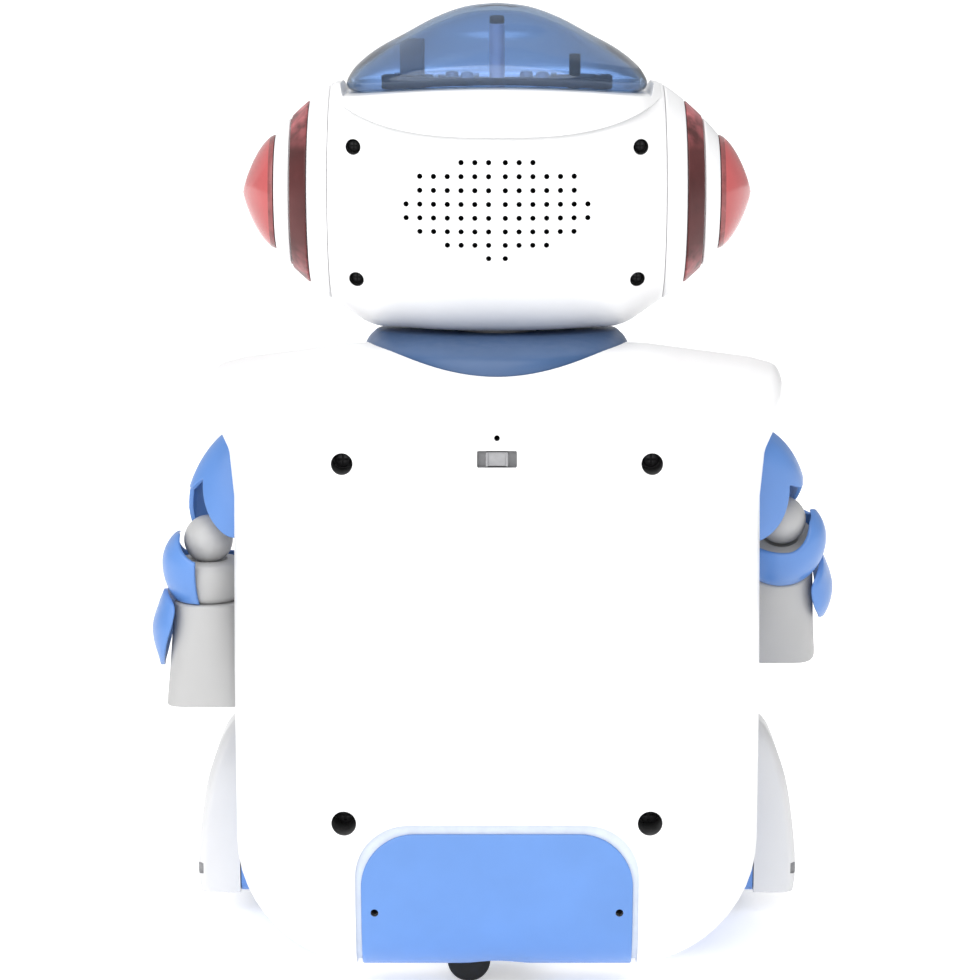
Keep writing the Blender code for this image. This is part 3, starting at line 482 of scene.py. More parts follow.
def rounded(corners, steps=6):
    """A closed 2-D outline with each corner (x, z, radius) turned into an arc."""
    outline = []
    count = len(corners)
    for i, (x, z, radius) in enumerate(corners):
        here = Vector((x, z))
        if radius == 0:
            outline.append(here)
            continue
        before = (Vector(corners[i - 1][:2]) - here).normalized()
        after = (Vector(corners[(i + 1) % count][:2]) - here).normalized()
        half = before.angle(after) / 2
        reach = radius / math.tan(half)
        centre = here + (before + after).normalized() * (radius / math.sin(half))
        first = here + before * reach - centre
        last = here + after * reach - centre
        weight = math.pi - 2 * half
        for k in range(steps + 1):
            share = k / steps
            a = math.sin((1 - share) * weight) / math.sin(weight)
            b = math.sin(share * weight) / math.sin(weight)
            outline.append(centre + first * a + last * b)
    return outline


def divided(outline, step):
    """The same closed outline with its long sides cut into pieces no longer than step."""
    points = []
    for a, b in zip(outline, outline[1:] + outline[:1]):
        cuts = max(1, math.ceil((b - a).length / step))
        points += [a.lerp(b, k / cuts) for k in range(cuts)]
    return points


def rectangle(half_x, half_z, radius, centre_z=0.0, steps=6):
    signs = ((1, 1), (1, -1), (-1, -1), (-1, 1))
    return rounded([(x * half_x, centre_z + z * half_z, radius) for x, z in signs], steps)


def standing(outline, y):
    return [Vector((p.x, y, p.y)) for p in outline]


def add_block(bm, low, high, edge, axis="Z", steps=4, material=0):
    """A box with every edge rounded. The axis is the one that its loops are stacked along."""
    order = {"X": (1, 2, 0), "Y": (0, 2, 1), "Z": (0, 1, 2)}[axis]
    a, b, c = order
    centre = [(p + q) / 2 for p, q in zip(low, high)]
    half = [(q - p) / 2 for p, q in zip(low, high)]
    loops = []
    places = [(edge * (1 - math.sin(t)), low[c] + edge * (1 - math.cos(t))) for t in RIM_TURNS]
    places += [(inset, low[c] + high[c] - place) for inset, place in reversed(places)]
    for inset, place in places:
        outline = rectangle(half[a] - inset, half[b] - inset, max(edge - inset, edge * 0.02), steps=steps)
        loop = []
        for p in outline:
            point = [0.0, 0.0, 0.0]
            point[a], point[b], point[c] = centre[a] + p.x, centre[b] + p.y, place
            loop.append(Vector(point))
        loops.append(loop)
    add_loft(bm, loops, material=material)


def curve_through(points, steps):
    """A smooth path through tuples of numbers, which it passes through exactly."""
    points = [Vector(p) for p in points]
    path = []
    for i in range(len(points) - 1):
        before = points[max(i - 1, 0)]
        a, b = points[i], points[i + 1]
        after = points[min(i + 2, len(points) - 1)]
        for k in range(steps):
            t = k / steps
            path.append(
                0.5 * (2 * a + (b - before) * t + (2 * before - 5 * a + 4 * b - after) * t**2
                       + (3 * a - before - 3 * b + after) * t**3)
            )
    return path + [points[-1]]


def smooth_step(low, high, value):
    share = min(max((value - low) / (high - low), 0.0), 1.0)
    return share * share * (3 - 2 * share)


def loose_object(name, bm, materials=()):
    bmesh.ops.recalc_face_normals(bm, faces=bm.faces)
    mesh = bpy.data.meshes.new(name)
    bm.to_mesh(mesh)
    bm.free()
    for material in materials:
        mesh.materials.append(bpy.data.materials[material])
    mesh.shade_smooth()
    made = bpy.data.objects.new(name, mesh)
    bpy.context.scene.collection.objects.link(made)
    return made


def tree_of(mesh):
    return BVHTree.FromPolygons([v.co for v in mesh.vertices], [p.vertices[:] for p in mesh.polygons])


def corner_normals_of(mesh):
    return [n.vector.copy() for n in mesh.corner_normals]


def smooth_normal(mesh, corner, face, place):
    """The smooth normal at a place on one face, from the normals of the mesh's corners."""
    weights = poly_3d_calc([mesh.vertices[v].co for v in face.vertices], place)
    blend = Vector()
    for weight, loop in zip(weights, face.loop_indices):
        blend += corner[loop] * weight
    return blend.normalized()


def follow_skin(mesh, skin):
    """Gives the faces that still lie on the uncut skin its own smooth normals, so cuts leave no dents."""
    tree = tree_of(skin)
    corner = corner_normals_of(skin)
    normals = corner_normals_of(mesh)
    for face in mesh.polygons:
        _, normal, index, distance = tree.find_nearest(face.center)
        if index is None or distance > 2e-4 or normal.dot(face.normal) < 0.9:
            continue
        for loop in face.loop_indices:
            vertex = mesh.vertices[mesh.loops[loop].vertex_index]
            place, _, index, distance = tree.find_nearest(vertex.co)
            if distance > 2e-5:
                continue
            under = skin.polygons[index]
            if under.normal.dot(face.normal) > 0.8:
                normals[loop] = smooth_normal(skin, corner, under, place)
    mesh.normals_split_custom_set(normals)


def carve(target, *steps):
    """Applies booleans in turn. A step is (operation, bmesh of the tool, material of the cut faces)."""
    skin = target.data.copy()
    for operation, bm, material in steps:
        tool = loose_object("tool", bm, [material] if material else [])
        modifier = target.modifiers.new("cut", "BOOLEAN")
        modifier.operation = operation
        modifier.solver = "EXACT"
        modifier.material_mode = "TRANSFER" if material else "INDEX"
        modifier.object = tool
        graph = bpy.context.evaluated_depsgraph_get()
        cut = bpy.data.meshes.new_from_object(target.evaluated_get(graph), depsgraph=graph)
        target.modifiers.clear()
        old, target.data = target.data, cut
        bpy.data.meshes.remove(old)
        bpy.data.objects.remove(tool)
    target.data.shade_smooth()
    target.data.set_sharp_from_angle(angle=SHARP_AFTER_CUTS)
    follow_skin(target.data, skin)
    bpy.data.meshes.remove(skin)


def stand_in(node, bm, materials=None, cuts=()):
    """The finished piece for one CAD node: it rides on that node's body and takes its place."""
    made = loose_object(f"{node}_finished", bm, materials or [SLOT_OF[node]])
    made.data.set_sharp_from_angle(angle=SHARP)
    if cuts:
        carve(made, *cuts)
    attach(made, BODY_OF[node])
    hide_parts(node)


# ---------------------------------------------------------------- head


def head_radius(x):
    share = min(abs(x) / HEAD_HALF, 1.0)
    fuller = 0.0018 * math.exp(-(((abs(x) - 0.0350) / 0.0070) ** 2))
    return HEAD_RADIUS * max(1 - share**2.4, 0.0) ** 0.78 + fuller


def head_back(x, z):
    """Depth of the head's skin behind, at x and z."""
    return math.sqrt(head_radius(x) ** 2 - (z - HEAD_Z) ** 2)


def soft_clamp(value, low, high):
    above = value - low
    value = low + 0.5 * (above + math.hypot(above, 0.0022))
    below = high - value
    return high - 0.5 * (below + math.hypot(below, 0.0010))


def head_point(x, angle, inset, low=HEAD_FLOOR, high=HEAD_ROOF):
    """A point of the head's skin. The angle runs from the top, 0, to the back, 90 degrees."""
    radius = head_radius(x) - inset
    free = HEAD_Z + radius * math.cos(angle)
    end = smooth_step(0.0458, 0.0472, abs(x))
    height = soft_clamp(free, low + inset, high - inset + 0.02 * end)
    return Vector((x, radius * math.sin(angle), height))


def grille_lift(x, z):
    half_x, half_z, lift = GRILLE_SWELL
    share = (abs(x) / half_x) ** 1.7 + (abs(z - GRILLE_MIDDLE) / half_z) ** 2
    return lift * (1 - smooth_step(0.80, 1.08, share))


def head_half(bm, side):
    def surface(u, v, depth):
        x = SHELL_HALF * (2 * u - 1)
        inset = HEAD_WALL * depth
        start = math.asin(GAP / 2 / (head_radius(x) - inset))
        angle = side * (start + v * (math.pi - 2 * start))
        point = head_point(x, angle, inset)
        if side > 0:
            point.y += grille_lift(x, point.z) * (1 - depth)
        return point

    add_plate(bm, surface, evenly(96), evenly(84), 0.0035, 0.0028, 0.16)


def screw_places(screws):
    return [(side * x, z, last) for x, z, last in screws for side in (1, -1)]


def neck_opening():
    return ("DIFFERENCE", rod(NECK_HOLE, "Z", (0, 0, HEAD_FLOOR - 0.003), 0.008, 48), None)


def head_rear():
    bm = bmesh.new()
    head_half(bm, 1)
    bosses, wells, holes = bmesh.new(), bmesh.new(), bmesh.new()
    for x, z, floor in screw_places(HEAD_SCREWS):
        ring = circle(HEAD_RECESS + 0.0014, 32, "Y", (x, floor - 0.0022, z))
        add_loft(bosses, [ring, [Vector((p.x, head_back(p.x, p.z) - 0.0009, p.z)) for p in ring]])
        add_rod(wells, HEAD_RECESS, "Y", (x, floor, z), 0.0200, 40)
    for row, count in enumerate(GRILLE_ROWS):
        for column in range(count):
            for side in (1, -1):
                x = side * (GRILLE_FIRST + column * GRILLE_PITCH)
                z = GRILLE_TOP - row * GRILLE_PITCH
                add_rod(holes, GRILLE_HOLE, "Y", (x, 0.0330, z), 0.0140, 16)
    cuts = (("UNION", bosses, None), ("DIFFERENCE", wells, "well_shade"), ("DIFFERENCE", holes, "hole_shade"),
            neck_opening())
    stand_in("head_rear_shell", bm, cuts=cuts)
    for name, (x, z, floor) in zip(CORNERS, screw_places(HEAD_SCREWS)):
        screw(f"head_screw_{name}", (x, floor + GAP, z), HEAD_RECESS - 0.0004)


def visor_prism(clearance):
    bm = bmesh.new()
    half_x, half_z, corner = VISOR
    outline = rectangle(half_x + clearance, half_z + clearance, corner, VISOR_Z, steps=16)
    add_loft(bm, [standing(outline, y) for y in (-0.050, -0.024)])
    return bm


def head_front():
    bm = bmesh.new()
    head_half(bm, -1)
    stand_in("head_front_shell", bm, cuts=(("DIFFERENCE", visor_prism(GAP), None), neck_opening()))

    def glass(u, v, depth):
        angle = -math.radians(50 + 80 * v)
        return head_point(0.040 * (2 * u - 1), angle, 0.0004 + 0.0030 * depth, 0, 1)

    bm = bmesh.new()
    add_plate(bm, glass, evenly(72), evenly(72), 0.01, 0.01)
    lamps = bmesh.new()
    for side in (1, -1):
        add_rod(lamps, EYE_RADIUS, "Y", (side * EYE_X, -0.0470, VISOR_Z), 0.0061, 40)
    cuts = (("INTERSECT", visor_prism(0.0), None), ("DIFFERENCE", lamps, "lamp_glow"))
    stand_in("face_visor", bm, cuts=cuts)


def dome_sag(x):
    return DOME_SAG * min(abs(x) / DOME_HALF, 1.0) ** 2


def crown():
    """The raised cap round the dome, with a lens-shaped brow over the back and the front."""

    def surface(u, v, depth):
        x = CROWN_HALF * (2 * u - 1)
        end = smooth_step(0.0400, CROWN_HALF, abs(x))
        lift = CROWN_LIFT * (1 - end) + 0.0002 - CROWN_WALL * depth
        radius = head_radius(x) + lift
        low = CROWN_LOW + CROWN_DROP * (abs(x) / CROWN_HALF) ** 3.0
        edge = math.acos(min((low - HEAD_Z) / radius, 1.0))
        height = HEAD_Z + radius * math.cos(edge * (2 * v - 1))
        outside = smooth_step(DOME_HALF + 0.0001, DOME_HALF + 0.0015, abs(x))
        roof = CROWN_TOP - CROWN_WALL * depth - dome_sag(x) + 0.0032 * outside
        under = roof - height
        height = roof - 0.5 * (under + math.hypot(under, 0.0006))
        return Vector((x, radius * math.sin(edge * (2 * v - 1)), height))

    bm = bmesh.new()
    middle = [0.5 * k / 60 * DOME_HALF / CROWN_HALF for k in range(60)]
    us = [k / 16 * 0.5 * (1 - DOME_HALF / CROWN_HALF) for k in range(16)]
    us += [0.5 * (1 - DOME_HALF / CROWN_HALF) + step for step in middle]
    us += [0.5] + [1 - u for u in reversed(us)]
    add_plate(bm, surface, us, evenly(70), 0.004, 0.007, 0.4)
    hole = rod(0.0026, "Z", (0, 0, 0.2490), 0.010, 32)
    stand_in("head_crown", bm, cuts=(("DIFFERENCE", hole, None),))


def dome_profile(inset):
    """From the base to the top: a short bulging foot, then a low arc."""
    places = [(0.0408, 0.0), (0.0424, 0.0008), (0.0431, 0.0026), (0.0424, 0.0042), (0.0402, 0.0064)]
    places += [(0.0347, 0.0098), (0.0267, 0.0140), (0.0178, 0.0187), (0.0090, 0.0218)]
    places.append((0.0004, DOME_TOP - DOME_BASE))
    shrink = (DOME_HALF - inset) / DOME_HALF
    top = (DOME_TOP - inset - DOME_BASE) / (DOME_TOP - DOME_BASE)
    points = curve_through([(a, b, 0) for a, b in places], 4)
    return [(p[0] * shrink, DOME_BASE + p[1] * top) for p in points]


def dome_loop(radius, z):
    """A loop between an ellipse and a rectangle in plan. Its height falls towards the ends of the dome."""
    fade = 1 - smooth_step(DOME_BASE + 0.0020, DOME_BASE + 0.0120, z)
    loop = []
    for i in range(120):
        a, b = math.cos(2 * math.pi * i / 120), math.sin(2 * math.pi * i / 120)
        reach = squared(a, b, 2 + (DOME_SQUARE - 2) * fade)
        x, y = radius * reach * a, radius * reach * b * DOME_DEPTH_RATIO
        loop.append(Vector((x, y, z - dome_sag(x) * fade)))
    return loop


def dome():
    bm = bmesh.new()
    profile = list(reversed(dome_profile(0.0))) + dome_profile(DOME_WALL)
    add_loft(bm, [dome_loop(*place) for place in profile])
    stand_in("dome", bm)


def lamp_board():
    """The board under the dome, with lamps, small parts and two taller blocks."""
    low, high = DOME_BASE + GAP, DOME_BASE + 0.0022
    bm = bmesh.new()
    outline, hole = rectangle(0.0330, 0.0100, 0.0030), circle(0.0027, 28, "Z", (0, 0, 0))
    rims = [[Vector((p.x, p.y, z)) for p in loop] for z in (low, high) for loop in (outline, hole)]
    add_loft(bm, [rims[1], rims[0], rims[2], rims[3]], ring=True)
    for sign in SIDES.values():
        corners = ((0.0040, low), (0.0329, low), (0.0329, low - 0.0012))
        wedge = [Vector((sign * x, z)) for x, z in corners]
        add_loft(bm, [standing(wedge, y) for y in (-0.0095, 0.0095)])
    add_block(bm, (0.0209, -0.0040, high), (0.0278, 0.0040, 0.2690), 0.0004, material=4)
    add_block(bm, (-0.0240, -0.0020, high), (-0.0208, 0.0020, 0.2648), 0.0004, material=1)
    for x, y in ((-0.0130, 0.0045), (-0.0085, -0.0050), (0.0085, 0.0050), (0.0130, -0.0045)):
        profile = [(0.0019, 0.0), (0.0019, 0.0005), (0.0016, 0.0010), (0.0009, 0.0013), (0.0001, 0.0014)]
        add_lathe(bm, profile, "Z", (x, y, high), 24, material=2)
    chips = (-0.0290, 0.0060), (-0.0165, -0.0070), (0.0060, -0.0070), (0.0175, 0.0070), (0.0290, -0.0050)
    for x, y in chips:
        ends = (x - 0.0008, y - 0.0005, high), (x + 0.0008, y + 0.0005, high + 0.0006)
        add_block(bm, *ends, 0.0001, material=3)
    stand_in("lamp_board", bm, ["board_green", "black_plastic", "lamp_lens", "steel", "slot_shade"])


def dome_post():
    bm = bmesh.new()
    add_lathe(bm, [(0.0022, HEAD_ROOF + GAP), (0.0022, 0.2724), (0.0020, 0.2731)], "Z", count=32)
    profile = [(0.0017, 0.2732), (0.00215, 0.2735), (0.00215, 0.2750), (0.0018, 0.2755), (0.0004, 0.2756)]
    add_lathe(bm, profile, "Z", count=32, material=1)
    stand_in("dome_post", bm, ["post_clear", "black_plastic"])


def speaker():
    profile = [(0.0090, 0.0140), (0.0095, 0.0200), (0.0190, 0.0270), (0.0200, 0.0275), (0.0200, 0.0300)]
    profile += [(0.0185, 0.0300), (0.0170, 0.0294), (0.0085, 0.0262), (0.0070, 0.0270), (0.0035, 0.0280)]
    bm = bmesh.new()
    add_lathe(bm, profile, "Y", (0, 0, GRILLE_MIDDLE), 64)
    turns = [2 * math.pi * k / 64 for k in range(64)]
    cloth = [Vector((0.0275 * math.cos(t), GRILLE_MIDDLE + 0.0158 * math.sin(t))) for t in turns]
    add_loft(bm, [standing(cloth, y) for y in (0.0301, 0.0305)])
    stand_in("speaker", bm)


def skin_line(start, end, count, inset=0.0):
    """Points of the head's outline between two places along X, with no rounding at any of them."""
    xs = (start + (end - start) * k / count for k in range(count + 1))
    return [(x, head_radius(x) - inset, 0.0) for x in xs]


def with_fillets(points, first, last):
    """The same points with a rounding at the first and the last one."""
    (x0, r0, _), (x1, r1, _) = points[0], points[-1]
    return [(x0, r0, first)] + points[1:-1] + [(x1, r1, last)]


def tip_line(base, start, end, count, inset=0.0):
    """Points of the ear tip's round end between two places along X, as x and radius."""
    line = []
    for k in range(count + 1):
        x = start + (end - start) * k / count
        share = (x - base) / (EAR_TIP_END - base)
        line.append((x, max(head_radius(base) * max(1 - share**1.6, 0.0) ** 0.8 - inset, 0.00005)))
    return line


def ears():
    low, high = EAR_BAND
    start, wall, fillet = SHELL_HALF + 0.00016, 0.0032, 0.0004
    for side, sign in SIDES.items():
        outline = with_fillets(skin_line(start, low - GAP, 6), fillet, fillet)
        outline += skin_line(low - GAP, high + GAP, 6, EAR_STEP)
        outline += with_fillets(skin_line(high + GAP, EAR_RIM_END, 4), fillet, fillet)
        outline += skin_line(EAR_RIM_END, start, 10, wall)
        ring = [(p.y, p.x) for p in rounded(outline, 4)]
        stand_in(f"ear_frame_{side}", turned(ring, sign, (0, 0, HEAD_Z), 128))

        outline = with_fillets(skin_line(low, high, 8), 0.0003, 0.0003)
        outline += skin_line(high, low, 8, EAR_STEP - GAP)
        ring = [(p.y, p.x) for p in rounded(outline, 4)]
        stand_in(f"ear_band_{side}", turned(ring, sign, (0, 0, HEAD_Z), 128))

        base = EAR_RIM_END + GAP
        outline = tip_line(base, EAR_TIP_END, base, 28) + tip_line(base, base, 0.0700, 12, 0.0018)
        bm = bmesh.new()
        add_lathe(bm, [(r, sign * x) for x, r in outline], "X", (0, 0, HEAD_Z), 128)
        # Faces near the tip's base take the darker red: painted shadow.
        for face in bm.faces:
            if abs(face.calc_center_median().x) < base + 0.0012:
                face.material_index = 1
        stand_in(f"ear_tip_{side}", bm, ["red_tip", "red_painted_shadow"])


def screw(node, place, radius):
    """A pan-head screw seen from behind, with a cross recess."""
    x, y, z = place
    bm = bmesh.new()
    thick = radius * 0.75
    profile = [(radius * 0.5, -0.0006), (radius * 0.5, 0), (radius, 0), (radius, thick * 0.5)]
    profile += [(radius * 0.9, thick * 0.8), (radius * 0.6, thick * 0.96)]
    profile += [(radius * 0.2, thick), (radius * 0.02, thick)]
    add_lathe(bm, [(r, p + 0.0006) for r, p in profile], "Y", place, 32)
    arm, width = radius * 0.62, radius * 0.14
    plus = [(width, arm), (width, width), (arm, width), (arm, -width), (width, -width), (width, -arm)]
    plus += [(-a, -b) for a, b in plus]
    cross = bmesh.new()
    outline = [Vector((x + a, z + b)) for a, b in plus]
    add_loft(cross, [standing(outline, y + place_y) for place_y in (0.0006 + thick * 0.45, 0.0030)])
    stand_in(node, bm, ["dark_steel"], cuts=(("DIFFERENCE", cross, "hole_shade"),))


# ---------------------------------------------------------------- torso


def oval(half, depth, z, count=96):
    turns = (2 * math.pi * i / count for i in range(count))
    return [Vector((half * math.cos(t), COLLAR_Y + depth * math.sin(t), z)) for t in turns]


def collar():
    top = HEAD_FLOOR - GAP
    outside = curve_through(
        [(0.0346, 0.0200, top), (0.0351, 0.0225, top - 0.0003), (0.0358, 0.0278, top - 0.0010),
         (0.0368, 0.0332, 0.1838), (0.0377, 0.0369, 0.1824), (0.0382, 0.0384, 0.1808),
         (COLLAR_HALF, COLLAR_DEPTH, 0.1780), (COLLAR_HALF, COLLAR_DEPTH, COLLAR_BOTTOM)], 3)
    bore = [circle(0.0150, 96, "Z", (0, 0, z)) for z in (COLLAR_BOTTOM, top)]
    bm = bmesh.new()
    add_loft(bm, bore + [oval(*ring) for ring in outside], ring=True)
    # The collar takes the darker blue: painted shade under the head.
    stand_in("neck_collar", bm, ["blue_painted_shade"])


def torso_outline():
    """The outline from behind: shoulder wings, a waist and wide round lower corners."""
    corners = [
        (0.0, TORSO_TOP, 0.0),
        (0.0425, TORSO_TOP - 0.0018, 0.0300),
        (0.0720, 0.1793, 0.0100),
        (WING[0], WING[1], 0.0050),
        (WING[0] - 0.0002, WING[1] - 0.0085, 0.0080),
        (WAIST[0], WAIST[1], 0.0180),
        (WAIST[0] - 0.0014, 0.1420, 0.0200),
        (HIP_X, 0.0900, 0.0),
        (HIP_X, TORSO_BOTTOM, BOTTOM_CORNER),
        (0.0, TORSO_BOTTOM, 0.0),
        (-0.01, 0.095, 0.0),
    ]
    half = [p for p in rounded(corners, 12) if p.x > 0.001]
    half = [Vector((0.030, TORSO_TOP - 0.0013))] + half + [Vector((0.018, TORSO_BOTTOM))]
    return divided(half + [Vector((-p.x, p.y)) for p in reversed(half)], 0.0035)


OUTLINE = torso_outline()


def torso_loop(y, inset_x, inset_top, inset_bottom):
    """The outline at depth y, drawn in from the sides, the top and the bottom."""
    up = 1 - inset_top / (TORSO_TOP - TORSO_MIDDLE)
    down = 1 - inset_bottom / (TORSO_MIDDLE - TORSO_BOTTOM)
    across = 1 - inset_x / HIP_X
    loop = []
    for p in OUTLINE:
        rise = p.y - TORSO_MIDDLE
        loop.append(Vector((p.x * across, y, TORSO_MIDDLE + rise * (up if rise > 0 else down))))
    return loop


# y, then how far the outline is drawn in at the sides, the top and the bottom.
BACK_STATIONS = (
    (RIM_Y, 0.0, 0.0, 0.0),
    (0.0290, 0.0004, 0.0012, 0.0002),
    (0.0380, 0.0018, 0.0040, 0.0008),
    (0.0460, 0.0050, 0.0085, 0.0020),
    (0.0520, 0.0100, 0.0150, 0.0045),
    (0.0565, 0.0180, 0.0240, 0.0095),
    (0.0590, 0.0280, 0.0350, 0.0180),
    (BACK_Y, 0.0400, 0.0480, 0.0300),
)


def back_outside():
    return curve_through(BACK_STATIONS, 5)


def back_dish():
    """The rear shell before any cut: fine outer rings, and an inner face one wall further in."""
    wall = TORSO_WALL
    outer = [torso_loop(*s) for s in back_outside()[1:]]
    rim = [torso_loop(RIM_Y + a, b, b, b) for a, b in ((0.0, 0.0003), (0.0001, 0.0001), (0.0004, 0.0))]
    inner = [torso_loop(RIM_Y, wall, wall, wall)]
    for y, side, top, bottom in curve_through(BACK_STATIONS[2:], 3):
        inner.append(torso_loop(y - wall, side + wall * 0.8, top + wall * 0.8, bottom + wall * 0.8))
    bm = bmesh.new()
    add_loft(bm, list(reversed(rim + outer)) + inner)
    return bm


class BackSurface:
    """Points of the rear shell's outer face, found by looking out from the line DOOR_HUB."""

    def __init__(self):
        bm = bmesh.new()
        add_loft(bm, [torso_loop(*s) for s in back_outside()])
        bmesh.ops.recalc_face_normals(bm, faces=bm.faces)
        self.mesh = bpy.data.meshes.new("back_surface")
        bm.to_mesh(self.mesh)
        bm.free()
        self.mesh.shade_smooth()
        self.corner = corner_normals_of(self.mesh)
        self.tree = tree_of(self.mesh)

    def point(self, x, angle, depth):
        direction = Vector((0, math.cos(angle), math.sin(angle)))
        place, _, index, _ = self.tree.ray_cast(Vector((x, *DOOR_HUB)), direction)
        return place - smooth_normal(self.mesh, self.corner, self.mesh.polygons[index], place) * depth


def door_top(x, reach, top):
    """Height of the door outline's upper edge at x."""
    flat = reach - DOOR_CORNER
    beyond = min(max(abs(x) - flat, 0.0), DOOR_CORNER)
    return top - DOOR_CORNER + math.sqrt(DOOR_CORNER**2 - beyond**2)


def add_door_plate(bm, back, clearance, depth, wall, rim, lower=0.0):
    """A plate that follows the rear shell inside the door's outline grown by clearance."""
    reach, top = DOOR_HALF + clearance, DOOR_TOP + clearance - lower
    bottom = math.radians(-74)

    def surface(u, v, share):
        x = reach * (2 * u - 1)
        high = door_top(x, reach, top)
        start = math.atan2(high - DOOR_HUB[1], BACK_Y - 0.0008 - DOOR_HUB[0])
        return back.point(x, start + v * (bottom - start), depth + wall * share)

    bend = [(1 - math.cos(math.pi / 2 * k / 12)) * DOOR_CORNER / (2 * reach) for k in range(13)]
    flat = [DOOR_CORNER / (2 * reach) + (1 - DOOR_CORNER / reach) * k / 20 for k in range(1, 20)]
    us = bend + flat + [1 - u for u in reversed(bend)]
    add_plate(bm, surface, us, evenly(44), rim / (2 * reach), rim / 0.07, rim / wall)


def door_prism(clearance):
    reach = DOOR_HALF + clearance
    corners = [(reach, DOOR_TOP + clearance, DOOR_CORNER), (reach, -0.010, 0), (-reach, -0.010, 0)]
    corners.append((-reach, DOOR_TOP + clearance, DOOR_CORNER))
    bm = bmesh.new()
    add_loft(bm, [standing(rounded(corners, 20), y) for y in (DOOR_Y - 0.020, 0.070)])
    return bm


def collar_prism():
    bm = bmesh.new()
    half, depth = COLLAR_HALF + COLLAR_CLEARANCE, COLLAR_DEPTH + COLLAR_CLEARANCE
    add_loft(bm, [oval(half, depth, z) for z in (0.1500, 0.2000)])
    return bm


def caster_pocket():
    return rod(CASTER_POCKET, "Z", (*CASTER, -0.0050), 0.0200, 64)


def torso_rear(back):
    bm = back_dish()
    bosses, wells, slot = bmesh.new(), bmesh.new(), bmesh.new()
    for x, z, radius in screw_places(TORSO_SCREWS):
        add_rod(bosses, radius + 0.0016, "Y", (x, 0.0440, z), 0.0135, 40)
        add_rod(wells, radius, "Y", (x, TORSO_SCREW_Y, z), 0.0200, 40)
    add_rod(wells, 0.0008, "Y", (0, 0.0500, LIGHT_Z), 0.0150, 20)
    outline = rectangle(SWITCH_SLOT[0] / 2, SWITCH_SLOT[1] / 2, 0.0004, SWITCH_Z, steps=3)
    add_loft(slot, [standing(outline, y) for y in (0.0500, 0.0650)])
    cuts = [("UNION", bosses, None), ("DIFFERENCE", wells, "well_shade"), ("DIFFERENCE", slot, "slot_shade"),
            ("DIFFERENCE", collar_prism(), None), ("DIFFERENCE", door_prism(DOOR_GAP), None)]
    seat = bmesh.new()
    add_door_plate(seat, back, DOOR_GAP + 0.0012, 0.00125, 0.0008, 0.0002)
    posts, holes = bmesh.new(), bmesh.new()
    for sign in SIDES.values():
        place = (sign * DOOR_SCREW[0], 0.0525, DOOR_SCREW[1])
        add_rod(posts, 0.0027, "Y", place, 0.0043, 32)
        add_rod(holes, DOOR_SCREW_HOLE, "Y", (place[0], 0.0538, place[2]), 0.0150, 32)
    # The seat behind the door's gap is grey: painted shade.
    cuts += [("UNION", seat, "seam_painted_shade"), ("UNION", posts, None), ("DIFFERENCE", holes, "well_shade")]
    cuts.append(("DIFFERENCE", caster_pocket(), None))
    stand_in("torso_rear_shell", bm, cuts=cuts)
    for name, (x, z, radius) in zip(CORNERS, screw_places(TORSO_SCREWS)):
        screw(f"torso_screw_{name}", (x, TORSO_SCREW_Y + GAP, z), radius - 0.0006)


def battery_door(back):
    bm = bmesh.new()
    add_door_plate(bm, back, -0.0003, 0.0, 0.0012, 0.0004, 0.0016)
    holes = bmesh.new()
    for sign in SIDES.values():
        add_rod(holes, DOOR_SCREW_HOLE, "Y", (sign * DOOR_SCREW[0], 0.0500, DOOR_SCREW[1]), 0.0150, 32)
    cuts = (("DIFFERENCE", holes, "well_shade"), ("DIFFERENCE", caster_pocket(), None))
    stand_in("battery_door", bm, cuts=cuts)
    for side, sign in SIDES.items():
        screw(f"door_screw_{side}", (sign * DOOR_SCREW[0], 0.0541, DOOR_SCREW[1]), 0.0009)


def torso_front():
    """A flange behind, as wide as the back, and a narrower box in front of it."""
    wall = TORSO_WALL
    lift = FRONT_BASE_Z - TORSO_BOTTOM
    flange = RIM_Y - GAP
    profile = [(flange, 0.0003, 0.0003, 0.0003), (flange - 0.0003, 0, 0, 0),
               (flange - wall + 0.0004, 0, 0, 0), (flange - wall, 0.0005, 0.0001, 0.0015),
               (flange - wall, 0.0094, 0.0013, lift * 0.97)]
    bulk = curve_through([(0.0149, 0.0100, 0.0014, lift), (-0.0200, 0.0105, 0.0065, lift),
                          (-0.0370, 0.0130, 0.0105, lift), (-0.0445, 0.0200, 0.0170, lift + 0.0050),
                          (-0.0480, 0.0290, 0.0260, lift + 0.0150),
                          (FRONT_Y, 0.0370, 0.0360, lift + 0.0240)], 5)
    inside = [(FRONT_Y + wall, 0.0380, 0.0370, lift + 0.0250), (-0.0430, 0.0225, 0.0195, lift + 0.0075),
              (-0.0350, 0.0155, 0.0130, lift + wall), (flange, 0.0125, 0.0038, lift + wall)]
    loops = [torso_loop(*s) for s in profile + [tuple(b) for b in bulk]]
    bm = bmesh.new()
    add_loft(bm, list(reversed(loops)) + [torso_loop(*s) for s in reversed(inside)])
    cuts = (("DIFFERENCE", collar_prism(), None), ("DIFFERENCE", button_holes(40), None))
    stand_in("torso_front_shell", bm, cuts=cuts)


def button_places():
    reach = BUTTON_REACH
    return [(0, PANEL_Z + reach), (0, PANEL_Z - reach), (reach, PANEL_Z), (-reach, PANEL_Z)]


def button_holes(count):
    bm = bmesh.new()
    for x, z in button_places():
        add_rod(bm, BUTTON_RADIUS + BUTTON_CLEARANCE, "Y", (x, -0.0550, z), 0.0120, count)
    return bm


